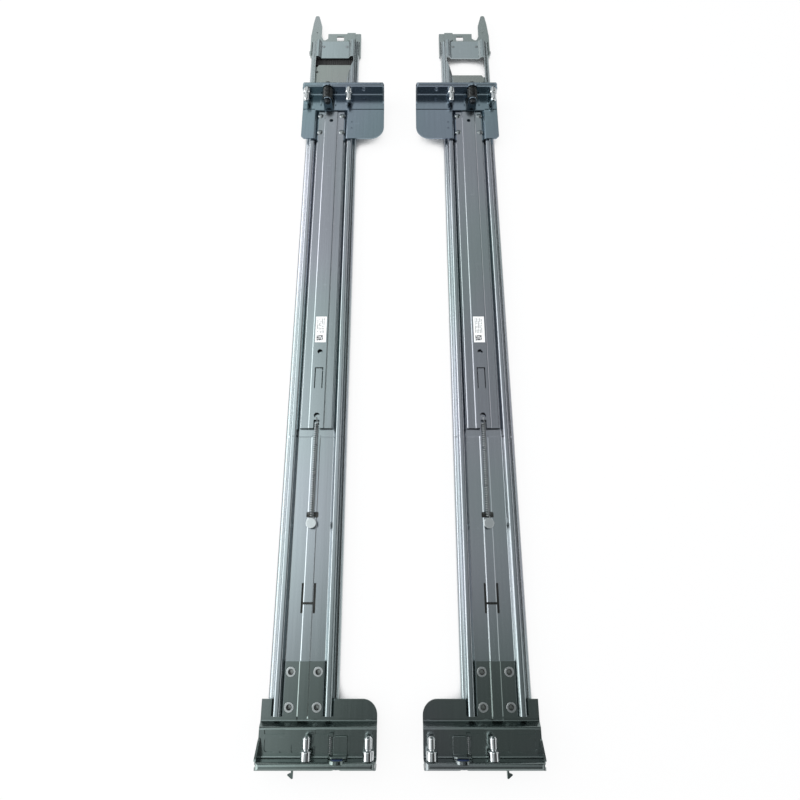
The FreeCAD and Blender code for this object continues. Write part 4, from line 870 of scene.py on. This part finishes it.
def button_spring(side, place, coil_turns, wire):
    """A coil wound in the box of a button's spring solid, which it replaces."""
    node = f"{side}_{place}_button_spring"
    low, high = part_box(node)
    centre = (low + high) / 2
    coil = (high.z - low.z) / 2 - wire
    start_y = low.y + wire
    stub = [(centre.x + coil, start_y, centre.z), (centre.x + coil, start_y + 0.02 * wire, centre.z)]
    ends = wire_curve(f"{side}_{place}_ends", [stub])
    piece = run_tree(f"{side}_{place}_button_coil", ends, WOUND, Turns=coil_turns, Coil_Radius=coil,
                     Wire_Radius=wire, Length=high.y - low.y - 2 * wire, Start=(centre.x, start_y, centre.z),
                     Turn=BACKWARDS, Finish=finish_of(node))
    stand_for(piece, node)
    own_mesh(piece)
    return piece


for side in SIDES:
    button_spring(side, "front", 9.0, 0.25 * MM)
    button_spring(side, "rear", 6.5, 0.55 * MM)
print("button springs:", 2 * len(SIDES))

# %% [markdown]
# ## Ball rows
# A bearing strip carries a row of balls along its whole length, at both sides of the slide. A mesh
# line gives the places, and an ico sphere is set on each. The solids hold only a few of them, which
# is enough for the motion, and the rows replace those here.

# %% The tree that sets two rows of balls
def ball_tree():
    tree, given, result = new_tree("ball row", {
        "Count": "Int", "First": "Vector", "Step": "Vector", "Radius": "Float", "Across": "Float",
        "Finish": "Material"})
    row = add_node(tree, "GeometryNodeMeshLine", {
        "Count": given["Count"], "Start Location": given["First"], "Offset": given["Step"]})
    apart = add_node(tree, "ShaderNodeCombineXYZ", {"X": given["Across"]})
    other = add_node(tree, "GeometryNodeTransform", {"Geometry": row, "Translation": apart})
    ball = add_node(tree, "GeometryNodeMeshIcoSphere", {"Radius": given["Radius"]}, {"Subdivisions": 3})
    smooth = add_node(tree, "GeometryNodeSetShadeSmooth", {"Geometry": ball})
    placed = add_node(tree, "GeometryNodeInstanceOnPoints", {
        "Points": joined(tree, row, other), "Instance": smooth})
    return close_tree(tree, placed, given["Finish"], result)


BALLS = ball_tree()
print(BALLS.name, "has", len(BALLS.nodes), "nodes")

# %% Rows of balls in both bearings
BALL_PITCH = 8.5 * MM


def ball_rows(side, bearing):
    """Fill both strips of a bearing and return how many balls a row has."""
    node = f"{side}_{bearing}_balls"
    low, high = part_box(node)
    strip_low, strip_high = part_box(f"{side}_{bearing}_ball_cage")
    radius = (high.z - low.z) / 2
    count = int((strip_high.y - strip_low.y - 4 * radius) / BALL_PITCH) + 1
    first_y = (strip_low.y + strip_high.y - (count - 1) * BALL_PITCH) / 2
    seed = new_piece(f"{side}_{bearing}_row", bpy.data.meshes.new("row"))
    piece = run_tree(f"{side}_{bearing}_bearing_balls", seed, BALLS, Count=count, Radius=radius,
                     First=(low.x + radius, first_y, low.z + radius), Step=(0.0, BALL_PITCH, 0.0),
                     Across=high.x - low.x - 2 * radius, Finish=finish_of(node))
    stand_for(piece, node)
    return count


for side in SIDES:
    print(side, "balls in a row:", [ball_rows(side, bearing) for bearing in ("outer", "inner")])

# %% [markdown]
# ## The floor
# The floor and the world are white to the camera and to every reflection, and still keep a soft
# shadow. Only the share of white that the camera sees is mixed in; lamps light the floor as they
# would a pale one. Under the rails there is no sky to see, so ambient occlusion takes the white away
# there, and gaps in the sheet look dark.

# %% Floor
FLOOR_DROP = 0.6 * MM
FLOOR_HALF = 6.0
FLOOR_TONE = (0.86, 0.86, 0.86, 1.0)
WHITE_SHARE = 0.88
SKY_REACH = 20 * MM
OPEN_SKY = (0.36, 0.54)


def stage_mesh(name, corners):
    """One flat face for the studio around the object."""
    mesh = bpy.data.meshes.new(name)
    mesh.from_pydata(corners, [], [(0, 1, 2, 3)])
    thing = new_piece(name, mesh)
    return thing


def floor_paint():
    paint = Paint("floor")
    paint.finish(Base_Color=FLOOR_TONE, Roughness=0.9)
    camera, gloss, through = [paint.node("ShaderNodeLightPath", out=f"Is {ray} Ray")
                              for ray in ("Camera", "Glossy", "Transmission")]
    sky = paint.node("ShaderNodeAmbientOcclusion", {"samples": 8}, {"Distance": SKY_REACH}, out="AO")
    white = (camera + gloss + through).clamped() * sky.fade(*OPEN_SKY) * WHITE_SHARE
    glow = paint.node("ShaderNodeEmission")
    lit = Wire(paint, paint.shader.outputs[0])
    mixed = paint.node("ShaderNodeMixShader", None, [white, lit, glow])
    paint.feed(paint.tree.nodes["Material Output"].inputs["Surface"], mixed)
    return paint.material


QUARTERS = ((-1, -1), (1, -1), (1, 1), (-1, 1))
floor = stage_mesh("floor", [(FLOOR_HALF * x, FLOOR_HALF * y, -FLOOR_DROP) for x, y in QUARTERS])
floor.data.materials.append(floor_paint())
print("floor:", 2 * FLOOR_HALF, "m wide")

# %% [markdown]
# ## Panels for the reflections
# Bare metal shows nothing but its surroundings, so a plain white room would turn all of it into one
# flat tone. As in a product studio, panels shape what the metal sees: a ceiling that is brightest at
# the left and falls off to the right and to the front, with dark gaps beside it, and low flags at
# the right and at the back that keep the slopes which face them dark. Only reflections see them, so
# they neither light nor shade the rails.

# %% Panels
ALL_RAYS = ("camera", "diffuse", "glossy", "transmission", "volume_scatter", "shadow")
CEILING = 1.3
CEILING_TONE = (0.95, 0.99, 1.0)


def panel(name, corners, level):
    """A panel that only reflections see; level is a colour or a function of its paint."""
    card = stage_mesh(name, corners)
    paint = Paint(name)
    glow = level(paint) if callable(level) else (*level, 1.0)
    paint.finish(Base_Color=(0.0, 0.0, 0.0, 1.0), Specular_IOR_Level=0.0,
                 Emission_Color=glow, Emission_Strength=1.0)
    card.data.materials.append(paint.material)
    for ray in ALL_RAYS:
        setattr(card, "visible_" + ray, ray == "glossy")
    return card


def ceiling_level(paint):
    """Brightness over the ceiling: front, rear and tail fade in along the rails."""
    across, along = paint.axis(0), paint.axis(1)
    front, rear, tail = along.fade(-0.62, -0.08), along.fade(0.35, 1.05), along.fade(1.35, 1.85)
    leftward = 0.0 - across
    level = (0.52 + rear * 0.10 + tail * 0.22) + leftward.fade(0.10, 0.50) * (1.62 - rear * 1.15)
    level = level * (0.42 + front * 0.58)
    level = level * (1.0 - across.fade(0.46, 0.58) * 0.92) * (1.0 - leftward.fade(0.60, 0.72) * 0.88)
    red, green, blue = CEILING_TONE
    values = {"X": level * red, "Y": level * green, "Z": level * blue}
    return paint.node("ShaderNodeCombineXYZ", None, values)


panel("ceiling", [(-1.05, -2.4, CEILING), (-1.05, 3.4, CEILING),
                  (1.45, 3.4, CEILING), (1.45, -2.4, CEILING)], ceiling_level)
panel("right flag", [(2.0, -3.0, 0.0), (2.0, 4.0, 0.0), (2.0, 4.0, 0.5), (2.0, -3.0, 0.5)],
      (0.10, 0.11, 0.12))
panel("rear flag", [(-2.5, 3.4, 0.1), (2.5, 3.4, 0.1), (2.5, 3.4, 1.2), (-2.5, 3.4, 1.2)],
      (0.10, 0.13, 0.13))
print("ceiling at", CEILING, "m, and two flags")

# %% [markdown]
# ## World and lamps
# The world has two faces: plain white where the camera or a reflection looks past everything, and a
# weaker cool fill that lights the rails. Two long lamps low at the left draw the bright lines on
# edges and bends. A strip at the right and a softbox above only fill the shadows, so they stay out
# of the reflections.

# %% World
FILL_TONE = (0.95, 0.97, 1.0, 1.0)
FILL_STRENGTH = 0.58


def studio_world():
    world = bpy.data.worlds.new("studio")
    world.use_nodes = True
    nodes, links = world.node_tree.nodes, world.node_tree.links
    fill = nodes["Background"]
    fill.inputs["Color"].default_value = FILL_TONE
    fill.inputs["Strength"].default_value = FILL_STRENGTH
    white = nodes.new("ShaderNodeBackground")
    white.inputs["Color"].default_value = (1.0, 1.0, 1.0, 1.0)
    light_path = nodes.new("ShaderNodeLightPath")
    seen = light_path.outputs["Is Camera Ray"]
    for ray in ("Is Glossy Ray", "Is Transmission Ray"):
        either = nodes.new("ShaderNodeMath")
        either.operation = "MAXIMUM"
        links.new(seen, either.inputs[0])
        links.new(light_path.outputs[ray], either.inputs[1])
        seen = either.outputs[0]
    choose = nodes.new("ShaderNodeMixShader")
    for socket, source in zip(choose.inputs, (seen, fill.outputs[0], white.outputs[0])):
        links.new(source, socket)
    links.new(choose.outputs[0], nodes["World Output"].inputs["Surface"])
    return world


bpy.context.scene.world = studio_world()
print("fill strength:", FILL_STRENGTH)


# %% Lamps
def softbox(name, place, width, height, power, in_gloss=True):
    """A rectangular lamp that looks at the middle of the rails."""
    lamp = bpy.data.lights.new(name, "AREA")
    lamp.shape = "RECTANGLE"
    lamp.size = width
    lamp.size_y = height
    lamp.energy = power
    thing = new_piece(name, lamp)
    thing.location = place
    thing.rotation_euler = (-Vector(place)).to_track_quat("-Z", "Y").to_euler()
    thing.visible_glossy = in_gloss
    return thing


softbox("left strip", (-1.35, 0.1, 0.75), 2.6, 0.75, 14.0)
softbox("low left strip", (-1.7, 0.1, 0.20), 3.2, 0.26, 6.5)
softbox("right strip", (1.35, 0.0, 0.85), 2.6, 0.5, 5.0, in_gloss=False)
softbox("top softbox", (-0.4, 0.3, 1.5), 1.4, 1.4, 14.0, in_gloss=False)
print("lamps:", [f"{lamp.name} {lamp.energy:g} W" for lamp in bpy.data.lights])

# %% [markdown]
# ## The camera
# It hangs over the near third of the rails and looks steeply down, so the rails run away from it and
# the far brackets look small. The focal length is a share of the sensor's width, and a small shift
# moves the picture without changing its perspective.

# %% Camera
SENSOR_MM = 36.0
CAMERA_PLACE = (0.0, -0.2470, 0.4974)
CAMERA_TILT = math.radians(19.305)
CAMERA_FOCAL = 0.7204
CAMERA_SHIFT = -0.02125
camera_data = bpy.data.cameras.new("camera")
camera_data.sensor_width = SENSOR_MM
camera_data.lens = SENSOR_MM * CAMERA_FOCAL
camera_data.clip_start = 10 * MM
camera_data.shift_y = CAMERA_SHIFT
camera = new_piece("camera", camera_data)
camera.location = CAMERA_PLACE
camera.rotation_euler = (CAMERA_TILT, 0.0, 0.0)
bpy.context.scene.camera = camera
bpy.context.scene.view_settings.view_transform = "Standard"
print("lens:", round(camera_data.lens, 2), "mm")

# %% [markdown]
